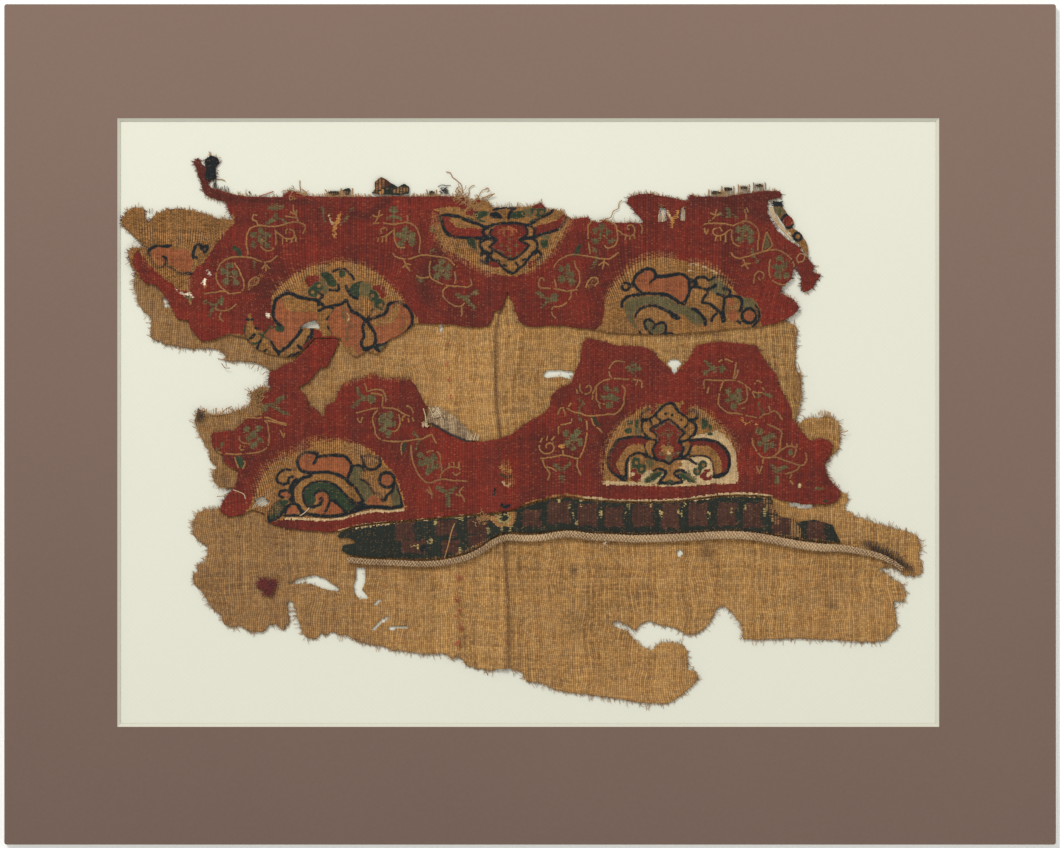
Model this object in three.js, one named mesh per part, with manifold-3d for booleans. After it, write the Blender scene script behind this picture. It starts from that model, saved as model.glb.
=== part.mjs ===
// A Coptic tapestry fragment laid out on a cream board behind a window mat.
// Millimetres, +Z up from the board's back to its face, +X to the right and +Y to the top of the picture.
// The origin is the middle of the back of the board.
import * as THREE from "three";
import { mergeVertices } from "three/addons/utils/BufferGeometryUtils.js";
import Module from "manifold-3d";

const wasm = await Module();
wasm.setup();

// Driving dimensions of the boards: a 20 by 16 inch mat in common four-ply board.
const BOARD_WIDTH = 508;
const BOARD_HEIGHT = 406;
const CORNER_RADIUS = 1.2;
const BACKING_THICK = 2.0;
const MAT_THICK = 1.5;
const MARGIN = { left: 54.5, right: 56.3, top: 55.0, bottom: 56.8 };
const BEVEL_WIDTH = 1.5;

// Driving dimensions of the cloth.
const GAP = 0.3;
const GROUND_THICK = 1.0;
const TAPESTRY_THICK = 1.0;
const CORD_WIDTH = 3.6;
const CORD_HEIGHT = 1.8;

// Levels, from the back upwards.
const BOARD_FACE = BACKING_THICK;
const MAT_BACK = BOARD_FACE + GAP;
const CLOTH_FLOOR = BOARD_FACE + GAP;
const LAYER_LIFT = GROUND_THICK + GAP;

// Outlines are lists of [x, y] in millimetres on the board, in named stretches.
// The seam is where the left and right widths of the ground cloth meet.
const SEAM = [
  [-10.4, -117.8], [-10.2, -100], [-10.4, -80], [-12.0, -66], [-12.8, -55],
  [-14.0, -8], [-15.4, 5], [-16.4, 16], [-16.8, 28], [-16.4, 44], [-14.0, 58], [-12, 72],
];

const LEFT_GROUND = {
  hiddenTop: [
    [-24, 76], [-44, 82], [-64, 88], [-92, 92], [-124, 90], [-146, 84], [-166, 78], [-184, 75],
  ],
  upperLeft: [
    [-190.8, 73], [-191.5, 67], [-190, 62], [-189.6, 59], [-187.4, 55.6], [-183.8, 52.6],
    [-183, 49], [-183.6, 44], [-182.4, 41], [-179, 40.4], [-176, 38.6], [-170, 37.6], [-165, 36.4],
    [-158, 36.8], [-152, 36.2], [-148.6, 35.4], [-147, 33.4], [-148, 31], [-144, 30.3],
    [-138, 30.4], [-132, 29.6], [-128, 28.2],
  ],
  notch: [[-124, 25], [-122.6, 21], [-124.6, 17.6]],
  middleLeft: [
    [-130, 18.2], [-134, 16], [-135, 12], [-136, 8], [-141, 7], [-147, 4.8], [-152, 4.4],
    [-157, 4.9], [-160, 7.6], [-161.6, 4], [-162, 0], [-160, -4], [-157.6, -9], [-155, -13],
    [-155, -17], [-151, -20], [-153.6, -24], [-152.6, -28], [-149.6, -30.4],
  ],
  behindArch: [[-143, -31], [-144.6, -36], [-147.4, -39.6]],
  lowerLeft: [
    [-152, -41], [-157, -41], [-161, -43], [-163, -47], [-163, -53], [-160, -56.4], [-156, -58.6],
    [-156, -62], [-157, -66.4], [-161, -67.8], [-160.2, -71], [-163, -72.4], [-162.4, -77],
    [-159.4, -79.6], [-157, -83.6], [-153, -89.6], [-149.4, -92.4], [-147.4, -96.6],
  ],
  foot: [
    [-144.4, -98], [-139.4, -97.4], [-136, -100], [-129, -100.4], [-126, -97], [-122.6, -96.6],
    [-119, -99.6], [-118.4, -97], [-116.2, -96],
  ],
  tear: [[-117.2, -90], [-117.6, -86], [-115, -85.4], [-113.4, -90], [-111.4, -96]],
  footRight: [
    [-110, -101], [-107.6, -103.4], [-103, -103.4], [-101, -100.6], [-98.6, -102], [-96, -100.2],
    [-92, -101.6], [-88, -102], [-84.4, -104.4], [-79, -106], [-74, -107], [-69, -107.6],
    [-66.6, -109], [-58, -110], [-50, -111], [-40, -110.8], [-37.6, -114], [-36, -112], [-33, -113],
    [-31.6, -115.4], [-26, -118], [-20, -119], [-15, -118.2],
  ],
};

const RIGHT_GROUND = {
  foot: [
    [-8, -118.2], [-3.6, -120], [-2, -124], [5, -125], [12, -128], [18, -129.6], [32, -131],
    [45, -133], [55, -134.6], [66, -134.8], [70, -133.4], [74, -130], [79, -126], [81, -123],
    [80.4, -120], [75.8, -118.2], [76, -110], [74.4, -107], [70, -105.4], [63, -105.6],
  ],
  longTear: [
    [59, -109], [55, -108], [51, -105], [47, -100], [42, -98.6], [38.6, -96], [43, -95],
    [47.4, -97], [51, -99.6], [54, -95.8], [58, -95], [61, -96.4], [66, -97.4], [72, -99],
  ],
  bay: [
    [75, -101.4], [80, -101.4], [84, -99], [88, -94.4], [89.6, -89.6], [93, -87.6], [97, -90],
    [101, -95], [102.6, -99], [103, -103.8],
  ],
  footRight: [
    [112, -104], [128, -103.4], [148, -104.2], [160, -105], [170, -105], [174, -102],
    [177.4, -98], [176.6, -92], [175.4, -85.4], [180.4, -85.8], [181.6, -82.4], [179, -76.2],
    [175, -75], [172, -71.8], [168, -70.2],
  ],
  tail: [
    [173, -68.8], [178, -70.4], [181, -73], [188.6, -73], [189.6, -69], [188, -63], [189, -58.6],
    [187, -54], [182, -51.8], [175, -50.2], [170, -48.4], [165, -47.2], [158, -45], [153, -42],
    [152, -39.6], [153.8, -36.6], [153, -33.6], [150, -32.4],
  ],
  behindArch: [[146, -28.8], [143.2, -24], [142.6, -20], [143.8, -17]],
  middleRight: [
    [146, -15], [148.6, -13], [149.6, -9], [150, -4], [149.4, 0], [147, 2.8], [143, 4.4],
    [140, 2.8], [136, 3], [132.6, 2.4], [130.4, 0.6], [127.8, 1.4], [129, 4], [130, 8],
    [131.2, 14], [130.8, 24], [128.4, 26], [128, 32], [128.6, 38], [128.8, 44], [128.4, 48],
    [124, 49.4],
  ],
  hiddenTop: [[116, 56], [112, 72], [100, 84], [78, 90], [52, 86], [30, 82], [8, 78]],
};

const UPPER_BAND = {
  curledStrip: [
    [-147, 107.4], [-152, 108.8], [-156, 110.4], [-158.2, 113], [-158.8, 116], [-160.4, 121],
    [-162.4, 126.6], [-160.6, 129], [-158.6, 126], [-157, 123.6], [-157.2, 128], [-154.4, 130],
    [-151, 129], [-150, 126.4], [-152.2, 124], [-151.6, 118.6], [-154.6, 118], [-156, 116],
    [-154, 114.4], [-148, 112.6],
  ],
  topEdge: [
    [-142, 110.8], [-135, 110], [-120, 109.8], [-117, 112.6], [-113, 112.4], [-108, 110.4],
    [-98, 110], [-80, 110], [-60, 110.2], [-40, 110.2], [-32, 109.6],
  ],
  lunetteTop: [
    [-29, 107], [-25, 108.4], [-20, 107.4], [-18, 104.6], [-12, 105], [-4, 105], [1, 105.6],
    [5, 107], [7, 105.4], [8, 103], [11, 104], [15, 102.6], [18.4, 100.4], [20, 99], [24, 99.8],
    [28, 100.2], [29, 98], [33, 97.6], [36, 98.6], [40, 97.4], [48, 97.4], [55, 97.4],
  ],
  raisedEdge: [
    [52, 101], [49, 105], [46.8, 107], [48, 110], [53, 111.4], [58, 111.4], [63, 110.4],
    [68, 109.8], [72, 108.6], [76, 108], [77.6, 111], [80, 110.2], [95, 110], [100, 111],
    [108, 112], [113, 112.8], [120, 112.8], [121.6, 111.4], [121, 109.6], [115, 108.2],
  ],
  rightEnd: [
    [114.4, 103], [116, 99], [119, 94], [124, 89.6], [129, 86.4], [132, 82.6], [135, 79.6],
    [137, 76.6], [136.4, 74], [140.6, 72], [138.4, 69.4], [137, 66.6], [135, 64.8], [132, 64],
    [131, 67], [131.4, 70], [130, 72.6], [129.4, 76], [128, 77], [127, 73.6], [126, 70],
    [122, 67], [120.6, 63.6], [124, 62], [127.4, 60], [130, 56.4], [128, 53.6], [124, 51],
    [119, 48.8],
  ],
  lowerRight: [
    [110, 47], [100, 46.4], [88, 45], [76, 44], [62, 43.2], [48, 43.8], [36, 44.4], [30, 46],
    [23, 46.4], [16, 47.8], [8, 47.6], [2, 47], [-3, 48], [-5.4, 50], [-7, 55], [-9, 60],
  ],
  point: [[-11, 64]],
  lowerMiddle: [
    [-12.8, 58], [-14, 55.2], [-18, 54.4], [-18.2, 51], [-20, 47.8], [-24, 46.8], [-30, 47],
    [-36, 48], [-45, 48.6], [-56, 48.8], [-59, 45.6], [-63, 43], [-68, 41], [-71, 36.4],
    [-74, 33.8], [-79, 35.6], [-84, 32.4], [-88, 34.8], [-91.6, 41.6], [-99.4, 41.8], [-104, 41.8],
    [-108.6, 37], [-113.6, 33], [-119, 32.4], [-126, 34], [-132, 36.4],
  ],
  lowerLeft: [
    [-138, 42], [-146, 43.6], [-152, 41], [-158, 40], [-161, 42.4], [-164, 46], [-165, 50],
    [-170, 50.6], [-172.4, 55], [-174, 59], [-178, 64.4], [-180.4, 67], [-186, 68.4],
    [-190, 72.4], [-193, 77], [-194, 83], [-193, 85.4], [-189, 85.4],
  ],
  leftTongue: [
    [-185.4, 85.6], [-190, 89.6], [-197.4, 96.6], [-197.4, 99], [-195, 103], [-191, 105],
    [-186.4, 104], [-186, 100], [-184.4, 97], [-183, 99.6], [-180, 102], [-175, 104],
    [-168, 104.2], [-160, 102.6], [-155, 101], [-151, 99.4], [-143.6, 98.8], [-145, 102],
  ],
};

// The foot of the lower band runs along the head of the checked border, left to right.
const BAND_FOOT_LEFT = [
  [-92, -51.4], [-85, -49], [-75, -47.4], [-62, -46.4], [-50, -45.4], [-40, -44.4], [-30, -43.4],
  [-22, -43], [-9, -41.4], [-4, -39.4],
];
const BAND_FOOT_RIGHT = [
  [3, -37], [10, -35.4], [18, -34.6], [28, -36], [42, -37], [58, -37.2], [72, -36.6],
  [86, -34.8], [97, -33.8], [108, -34], [116.4, -34.8],
];

const LOWER_BAND = {
  diagonalStrip: [
    [-126, 25], [-126.4, 20], [-125, 17],
  ],
  leftEdge: [
    [-129.6, 14], [-130, 8], [-129, 4.4], [-136, 3.4], [-140, 0], [-143, -3], [-153.4, -4],
    [-154, -8], [-152.6, -12.4], [-147.4, -15.4], [-148.6, -18], [-145, -20.8], [-141, -22.4],
    [-141.4, -27], [-143.6, -31.4], [-148, -36.4], [-150, -42], [-146, -44.6], [-139, -43.6],
    [-134, -41],
  ],
  lunetteFoot: [[-128.4, -43], [-127, -47.4], [-118, -50], [-108, -51.2], [-98, -52]],
  footEnd: [[121, -36.6], [131, -38.4], [140, -38.8], [145, -38.6]],
  rightEnd: [
    [148.6, -37], [150, -34], [149, -31], [146, -28.4], [144, -26], [142.4, -22], [142, -19],
    [144, -16.4], [145.6, -13], [146.4, -10], [144, -8], [140, -6.6], [136, -8], [133, -6],
    [131, -3], [128.4, 0], [126, 3.6], [126, 8], [122.6, 14], [120, 19], [119, 24], [115.4, 28],
    [113.4, 31], [111, 35], [109.4, 38.2], [104, 38.8],
  ],
  crownRight: [
    [96, 39.6], [90, 39.8], [84, 39], [80, 38], [78, 34], [76, 30.6], [73.6, 28.4], [69.6, 24],
    [66.6, 28], [63, 31], [60, 34.6], [57, 37], [50, 37.8], [41, 38.2], [36, 40], [28, 41.6],
    [25.4, 39.6], [24.6, 34], [24, 30], [22, 26], [20, 20], [14, 17.4], [10.4, 14], [9.4, 9],
  ],
  dip: [
    [7, 5.4], [2, 3], [-4, -1], [-9, -4.8], [-15, -7], [-22, -8.2], [-30, -8.6], [-38, -5.6],
    [-45, -1.6], [-51, -1],
  ],
  crownLeft: [
    [-52, 2], [-50, 8], [-53, 14], [-56.4, 20], [-58.4, 21.6], [-64, 22.6], [-71, 22.2],
    [-76, 25], [-81, 22.6], [-90, 20], [-92.4, 16], [-94.4, 10.6], [-98.4, 9.6], [-100, 2.6],
    [-102, 6], [-104, 8], [-107, 9], [-108, 13.4], [-112, 18], [-107, 20], [-104, 24],
    [-101.4, 27], [-97.4, 28], [-96, 32], [-93.6, 37], [-92, 40.4], [-95, 41.2], [-98.6, 41.2],
    [-103.6, 41.2], [-107.4, 37], [-112.6, 32], [-115, 29.8], [-119, 29], [-122, 26.6],
  ],
};

// The border's foot, right to left; the edge cord is sewn along it.
const BORDER_FOOT = [
  [150, -57], [143, -56.8], [133, -56], [125, -54.8], [117, -53], [108, -51.8], [98, -51.1],
  [88, -51.4], [75, -52.1], [60, -52.8], [50, -52.8], [38, -52.2], [30, -52], [22, -50.8],
  [15, -50.8], [8, -51.8], [0, -52.6], [-8, -52], [-14, -52.4], [-19, -55.4], [-24, -58.8],
  [-30, -61.8], [-38, -63.8], [-46, -65], [-55, -65.2], [-65, -64.6], [-77, -64.2], [-88, -63],
];
const BORDER_RIGHT_END = [
  [117.6, -40], [120, -44.6], [127.4, -45.4], [129, -48], [132, -46.6], [137, -46], [142, -47.2],
  [146, -48.6], [148, -53],
];
const BORDER_LEFT_END = [[-90.8, -61], [-90.6, -58.4], [-84.6, -57.4], [-84.6, -55.6], [-93, -54.4]];

const CORD_ROUTE = [
  [-88, -65.4], [-77, -66.4], [-65, -66.8], [-55, -67.4], [-46, -67.2], [-38, -66], [-30, -64],
  [-23, -60.6], [-17, -56.6], [-11, -54.6], [-3, -55], [6, -54.6], [13, -53.4], [20, -53],
  [29, -54.2], [38, -54.6], [50, -55.2], [62, -55], [75, -54.4], [88, -53.6], [98, -53.4],
  [108, -54.1], [118, -55.8], [128, -57.8], [140, -59.4], [150, -59.8], [160, -61.4],
  [168, -63.4], [174, -66], [180, -70],
];

const LUNETTE_SCRAP = [
  [117.2, 108], [122, 107.6], [122, 104.6], [124, 102.4], [126.4, 100], [127.6, 96.8],
  [126.6, 95], [129, 93.4], [131.6, 91.6], [133.6, 87.4], [134.4, 83.6], [134.2, 81.4],
  [132.2, 83.6], [129.8, 87.2], [127, 89.8], [124, 94], [121, 99], [118.2, 103],
];

const MENDING_PATCH = [
  [-50.2, 1], [-44.6, -0.6], [-37.8, -4.6], [-30, -7.6], [-25.4, -7.4], [-28.6, -3.4],
  [-33, 0.4], [-36, 4], [-41, 6.6], [-44, 9], [-48.6, 8.4],
];

const LARGE_SCRAP = [
  [-77, 111.4], [-62, 110.9], [-58.4, 111.6], [-58.4, 115], [-61, 116.4], [-64, 114.6],
  [-66, 115.8], [-69, 118.2], [-72, 119.8], [-75.2, 117], [-75, 113.8],
];

// The small remains of a second border along the head of the upper band.
const SMALL_SCRAPS = [
  { x: -94.8, y: 111.9, width: 5.8, height: 1.8 },
  { x: -88.5, y: 112.6, width: 3.6, height: 3.2 },
  { x: -47.5, y: 111.9, width: 2.8, height: 1.9 },
  { x: 89.8, y: 112.0, width: 5.0, height: 1.5 },
  { x: 95.6, y: 113.6, width: 4.0, height: 1.9 },
  { x: 103.3, y: 114.4, width: 3.8, height: 1.5 },
  { x: 110.8, y: 115.4, width: 4.0, height: 1.5 },
];

// Holes that show the board, each cut through the sheets named in its row.
const HOLES = {
  rightSlit: [[5.6, 23.4], [8, 26], [13, 26.2], [21, 25.6], [20, 22], [13, 23], [8, 22.4]],
  shoulder: [[-178, 61.4], [-175.6, 61], [-173.6, 56.6], [-177, 56.4]],
  lunette: [[-112, 46.4], [-108, 49.4], [-103.4, 50.6], [-101, 46], [-106, 46.4]],
  archFoot: [[-133.4, -36.4], [-129, -34.6], [-125.6, -37], [-129, -40], [-132, -39]],
  longSlit: [
    [-117, -76.6], [-110, -74], [-104, -72.8], [-99, -74.6], [-92, -79.6], [-93, -80.8],
    [-100, -79.4], [-106, -77], [-114, -77.4],
  ],
  tallSlit: [
    [-84, -69.4], [-80, -69.4], [-79.6, -76], [-81, -79.6], [-77.6, -84], [-82, -84.6],
    [-85, -81.4], [-85.4, -79], [-84, -73],
  ],
  leftWindow: [[62.4, 104.8], [65.4, 104.8], [66, 98.4], [62.6, 98.4]],
  rightWindow: [[73, 104.4], [75.2, 104.4], [75, 98.4], [72, 98.8]],
};

// Folds and creases: a ridge, or a trough where height is negative, along a line.
const FOLDS = [
  { x0: 32, y0: -64, x1: 62, y1: -87, width: 5, height: 0.9 },
  { x0: 26, y0: -68, x1: 56, y1: -91, width: 5, height: -0.25 },
  { x0: -40, y0: -87, x1: -12, y1: -88, width: 5, height: 0.5 },
  { x0: -35, y0: -68, x1: -35, y1: -112, width: 5, height: 0.5 },
  { x0: -60, y0: -95, x1: -36, y1: -96, width: 5, height: 0.4 },
  { x0: -14, y0: 39, x1: 16, y1: 42, width: 5, height: 0.4 },
  { x0: -16, y0: -30, x1: -8, y1: -14, width: 6, height: 0.5 },
  { x0: 140, y0: -72, x1: 158, y1: -76, width: 6, height: 0.4 },
];
const SINK = { start: 11, end: 22 };
const SEAM_LIP = { offset: -2.5, width: 5, height: 1.2 };
const RIPPLE = { height: 0.16, lengthX: 57, lengthY: 43 };

// The sheets' grids have these steps, and their columns crowd together about the seam's ridge.
const GROUND_STEP = 14;
const TAPESTRY_STEP = 12;
const GRID_RIM = 8;
const CROWDING = { x: -14, reach: 20, squeeze: 0.7 };
const CORD_STEPS = 60;

function smoothStep(low, high, value) {
  const t = Math.min(1, Math.max(0, (value - low) / (high - low)));
  return t * t * (3 - 2 * t);
}

function distanceToLine(x, y, x0, y0, x1, y1) {
  const dx = x1 - x0;
  const dy = y1 - y0;
  const t = Math.min(1, Math.max(0, ((x - x0) * dx + (y - y0) * dy) / (dx * dx + dy * dy)));
  return Math.hypot(x - x0 - t * dx, y - y0 - t * dy);
}

// How far a point is inside an outline, negative outside.
function depthInside(x, y, outline) {
  let inside = false;
  let nearest = Infinity;
  outline.forEach(([x1, y1], i) => {
    const [x0, y0] = outline[(i + outline.length - 1) % outline.length];
    nearest = Math.min(nearest, distanceToLine(x, y, x0, y0, x1, y1));
    if (y0 > y !== y1 > y && x < ((x1 - x0) * (y - y0)) / (y1 - y0) + x0) inside = !inside;
  });
  return inside ? nearest : -nearest;
}

function seamX(y) {
  const after = Math.max(1, SEAM.findIndex(([, seamY]) => seamY > y));
  const [x0, y0] = SEAM[y > SEAM.at(-1)[1] ? SEAM.length - 2 : after - 1];
  const [x1, y1] = SEAM[y > SEAM.at(-1)[1] ? SEAM.length - 1 : after];
  return x0 + (x1 - x0) * Math.min(1, Math.max(0, (y - y0) / (y1 - y0)));
}

// The relief that all the layers of cloth share: it only ever lifts them off the board.
function relief(x, y) {
  const ripple = Math.sin(x / RIPPLE.lengthX * Math.PI * 2) * Math.sin(y / RIPPLE.lengthY * Math.PI * 2);
  let z = RIPPLE.height * (1 + ripple);
  for (const f of FOLDS) {
    z += f.height * Math.exp(-((distanceToLine(x, y, f.x0, f.y0, f.x1, f.y1) / f.width) ** 2));
  }
  z += SEAM_LIP.height * Math.exp(-(((x - seamX(y) - SEAM_LIP.offset) / SEAM_LIP.width) ** 2));
  return Math.max(0, z);
}

function solidOf(geometry) {
  const bare = geometry.clone();
  bare.deleteAttribute("normal");
  bare.deleteAttribute("uv");
  const merged = mergeVertices(bare, 1e-4);
  const solid = new wasm.Manifold(new wasm.Mesh({
    numProp: 3,
    vertProperties: new Float32Array(merged.attributes.position.array),
    triVerts: new Uint32Array(merged.index.array),
  }));
  return solid;
}

function geometryOf(solid) {
  const mesh = solid.getMesh();
  const geometry = new THREE.BufferGeometry();
  geometry.setAttribute("position", new THREE.BufferAttribute(new Float32Array(mesh.vertProperties), 3));
  geometry.setIndex(new THREE.BufferAttribute(new Uint32Array(mesh.triVerts), 1));
  return geometry;
}

// Outlines may be listed either way round, and are turned counter-clockwise here.
function loopOf(outline) {
  const points = outline.map(([x, y]) => new THREE.Vector2(x, y));
  return THREE.ShapeUtils.isClockWise(points) ? points.reverse() : points;
}

function shapeOf(outline, holes = []) {
  const shape = new THREE.Shape(loopOf(outline));
  shape.holes = holes.map((hole) => new THREE.Path(loopOf(hole)));
  return shape;
}

function crowdedColumn(x) {
  const t = (x - CROWDING.x) / CROWDING.reach;
  return x - CROWDING.squeeze * CROWDING.reach * t * Math.exp(-t * t);
}

// A slab with a grid of steps whose two faces follow the height of the cloth.
function slab(outline, step, thick, height) {
  const xs = outline.map(([x]) => x);
  const ys = outline.map(([, y]) => y);
  const width = Math.max(...xs) - Math.min(...xs) + 2 * GRID_RIM;
  const depth = Math.max(...ys) - Math.min(...ys) + 2 * GRID_RIM;
  const geometry = new THREE.BoxGeometry(
    width, depth, thick, Math.ceil(width / step), Math.ceil(depth / step), 1,
  );
  geometry.translate(
    Math.min(...xs) - GRID_RIM + width / 2, Math.min(...ys) - GRID_RIM + depth / 2, thick / 2,
  );
  const points = geometry.attributes.position;
  for (let i = 0; i < points.count; i += 1) {
    points.setX(i, crowdedColumn(points.getX(i)));
    points.setZ(i, points.getZ(i) + height(points.getX(i), points.getY(i)));
  }
  return solidOf(geometry);
}

// A sheet of cloth: the slab, cut to the outline and its holes.
function clothSheet(outline, holes, step, thick, height) {
  const cutter = new THREE.ExtrudeGeometry(shapeOf(outline, holes), { depth: 40, bevelEnabled: false });
  return geometryOf(slab(outline, step, thick, height).intersect(solidOf(cutter)));
}

function roundedRectangle(width, height, radius) {
  const x = width / 2;
  const y = height / 2;
  const shape = new THREE.Shape();
  shape.moveTo(-x + radius, -y);
  shape.lineTo(x - radius, -y);
  shape.absarc(x - radius, -y + radius, radius, -Math.PI / 2, 0);
  shape.lineTo(x, y - radius);
  shape.absarc(x - radius, y - radius, radius, 0, Math.PI / 2);
  shape.lineTo(-x + radius, y);
  shape.absarc(-x + radius, y - radius, radius, Math.PI / 2, Math.PI);
  shape.lineTo(-x, -y + radius);
  shape.absarc(-x + radius, -y + radius, radius, Math.PI, Math.PI * 1.5);
  return shape;
}

function board(thick) {
  return new THREE.ExtrudeGeometry(
    roundedRectangle(BOARD_WIDTH, BOARD_HEIGHT, CORNER_RADIUS),
    { depth: thick, bevelEnabled: false, curveSegments: 4 },
  );
}

// The window is wider at the face than at the back, so that its bevel shows.
function windowMat() {
  const width = BOARD_WIDTH - MARGIN.left - MARGIN.right;
  const height = BOARD_HEIGHT - MARGIN.top - MARGIN.bottom;
  const slope = BEVEL_WIDTH / MAT_THICK;
  const past = 1;
  const cutter = new THREE.BoxGeometry(width, height, MAT_THICK + 2 * past);
  cutter.translate(
    (MARGIN.left - MARGIN.right) / 2, (MARGIN.bottom - MARGIN.top) / 2, MAT_THICK / 2,
  );
  const points = cutter.attributes.position;
  const [midX, midY] = [(MARGIN.left - MARGIN.right) / 2, (MARGIN.bottom - MARGIN.top) / 2];
  for (let i = 0; i < points.count; i += 1) {
    const spread = (points.getZ(i) - MAT_THICK) * slope;
    points.setX(i, points.getX(i) + Math.sign(points.getX(i) - midX) * spread);
    points.setY(i, points.getY(i) + Math.sign(points.getY(i) - midY) * spread);
  }
  return geometryOf(solidOf(board(MAT_THICK)).subtract(solidOf(cutter)));
}

const joined = (stretches) => Object.values(stretches).flat();
const shifted = (points, dx, dy) => points.map(([x, y]) => [x + dx, y + dy]);
const reversed = (points) => [...points].reverse();

const leftOutline = [...shifted(SEAM, -GAP / 2, 0), ...joined(LEFT_GROUND)];
const rightOutline = [...joined(RIGHT_GROUND), ...reversed(shifted(SEAM, GAP / 2, 0))];
const upperOutline = joined(UPPER_BAND);
const lowerOutline = [
  ...LOWER_BAND.diagonalStrip, ...LOWER_BAND.leftEdge, ...LOWER_BAND.lunetteFoot,
  ...BAND_FOOT_LEFT, ...BAND_FOOT_RIGHT, ...LOWER_BAND.footEnd, ...LOWER_BAND.rightEnd,
  ...LOWER_BAND.crownRight, ...LOWER_BAND.dip, ...LOWER_BAND.crownLeft,
];
const borderHead = shifted([...BAND_FOOT_LEFT, ...BAND_FOOT_RIGHT], 0, -1.0);
const borderOutline = [...borderHead, ...BORDER_RIGHT_END, ...BORDER_FOOT, ...BORDER_LEFT_END];

// Cloth that lies on the ground cloth is lifted by it, and sinks to the board past its edge.
function layerLift(x, y) {
  const over = Math.max(depthInside(x, y, leftOutline), depthInside(x, y, rightOutline));
  return LAYER_LIFT * smoothStep(-SINK.end, -SINK.start, over);
}

const groundHeight = (x, y) => CLOTH_FLOOR + relief(x, y);
const tapestryHeight = (x, y) => CLOTH_FLOOR + relief(x, y) + layerLift(x, y);

function smallScrap({ x, y, width, height }) {
  const sides = 9;
  const corner = (i) => {
    const turn = (i / sides) * Math.PI * 2;
    const uneven = 1 + 0.16 * Math.sin(3 * turn + x);
    return [x + (width / 2) * uneven * Math.cos(turn), y + (height / 2) * uneven * Math.sin(turn)];
  };
  const geometry = new THREE.ExtrudeGeometry(
    shapeOf(Array.from({ length: sides }, (_, i) => corner(i))),
    { depth: TAPESTRY_THICK, bevelEnabled: false },
  );
  return geometry.translate(0, 0, tapestryHeight(x, y));
}

function edgeCord() {
  const section = new THREE.Shape();
  section.absellipse(0, 0, CORD_HEIGHT / 2, CORD_WIDTH / 2, 0, Math.PI * 2);
  const clear = GAP + CORD_HEIGHT / 2 + 0.25;
  const route = new THREE.CatmullRomCurve3(CORD_ROUTE.map(
    ([x, y]) => new THREE.Vector3(x, y, CLOTH_FLOOR + GROUND_THICK + relief(x, y) + clear),
  ));
  return new THREE.ExtrudeGeometry(section, { steps: CORD_STEPS, extrudePath: route, curveSegments: 4 });
}

const finish = (color, roughness) => new THREE.MeshStandardMaterial({ color, roughness, metalness: 0 });
const FINISHES = {
  cream: finish(0xebe9d8, 0.9),
  taupe: finish(0x84705f, 0.95),
  tan: finish(0x9c7648, 0.95),
  madder: finish(0x7a2a25, 0.95),
  indigo: finish(0x33302e, 0.95),
  natural: finish(0xb59d7a, 0.9),
  grey: finish(0x8c7658, 0.95),
};

const fragment = new THREE.Group();

function addPiece(name, geometry, material, z = 0) {
  const mesh = new THREE.Mesh(geometry, material);
  mesh.name = name;
  mesh.position.z = z;
  fragment.add(mesh);
}

addPiece("backing_board", board(BACKING_THICK), FINISHES.cream);
addPiece("window_mat", windowMat(), FINISHES.taupe, MAT_BACK);
addPiece("ground_cloth_left", clothSheet(
  leftOutline, [HOLES.shoulder, HOLES.lunette, HOLES.archFoot, HOLES.longSlit, HOLES.tallSlit],
  GROUND_STEP, GROUND_THICK, groundHeight,
), FINISHES.tan);
addPiece("ground_cloth_right", clothSheet(
  rightOutline, [HOLES.rightSlit], GROUND_STEP, GROUND_THICK, groundHeight,
), FINISHES.tan);
addPiece("tapestry_upper_band", clothSheet(
  upperOutline, [HOLES.lunette, HOLES.leftWindow, HOLES.rightWindow],
  TAPESTRY_STEP, TAPESTRY_THICK, tapestryHeight,
), FINISHES.madder);
addPiece("tapestry_lower_band", clothSheet(
  lowerOutline, [HOLES.archFoot], TAPESTRY_STEP, TAPESTRY_THICK, tapestryHeight,
), FINISHES.madder);
addPiece("checked_border", clothSheet(
  borderOutline, [], TAPESTRY_STEP, TAPESTRY_THICK, tapestryHeight,
), FINISHES.indigo);
addPiece("lunette_scrap", clothSheet(
  LUNETTE_SCRAP, [], TAPESTRY_STEP, TAPESTRY_THICK, tapestryHeight,
), FINISHES.indigo);
addPiece("mending_patch", clothSheet(
  MENDING_PATCH, [], TAPESTRY_STEP, TAPESTRY_THICK, tapestryHeight,
), FINISHES.grey);
addPiece("border_scrap_large", clothSheet(
  LARGE_SCRAP, [], TAPESTRY_STEP, TAPESTRY_THICK, tapestryHeight,
), FINISHES.indigo);
SMALL_SCRAPS.forEach((row, i) => {
  addPiece(`border_scrap_${i + 1}`, smallScrap(row), FINISHES.indigo);
});
addPiece("edge_cord", edgeCord(), FINISHES.natural);

export default fragment;
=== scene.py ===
"""The looks of a framed Coptic tapestry fragment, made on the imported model. Lengths are millimetres until a mesh is made."""
import math
import random

import bmesh
import bpy
import numpy as np
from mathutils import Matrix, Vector
from mathutils.bvhtree import BVHTree


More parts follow.
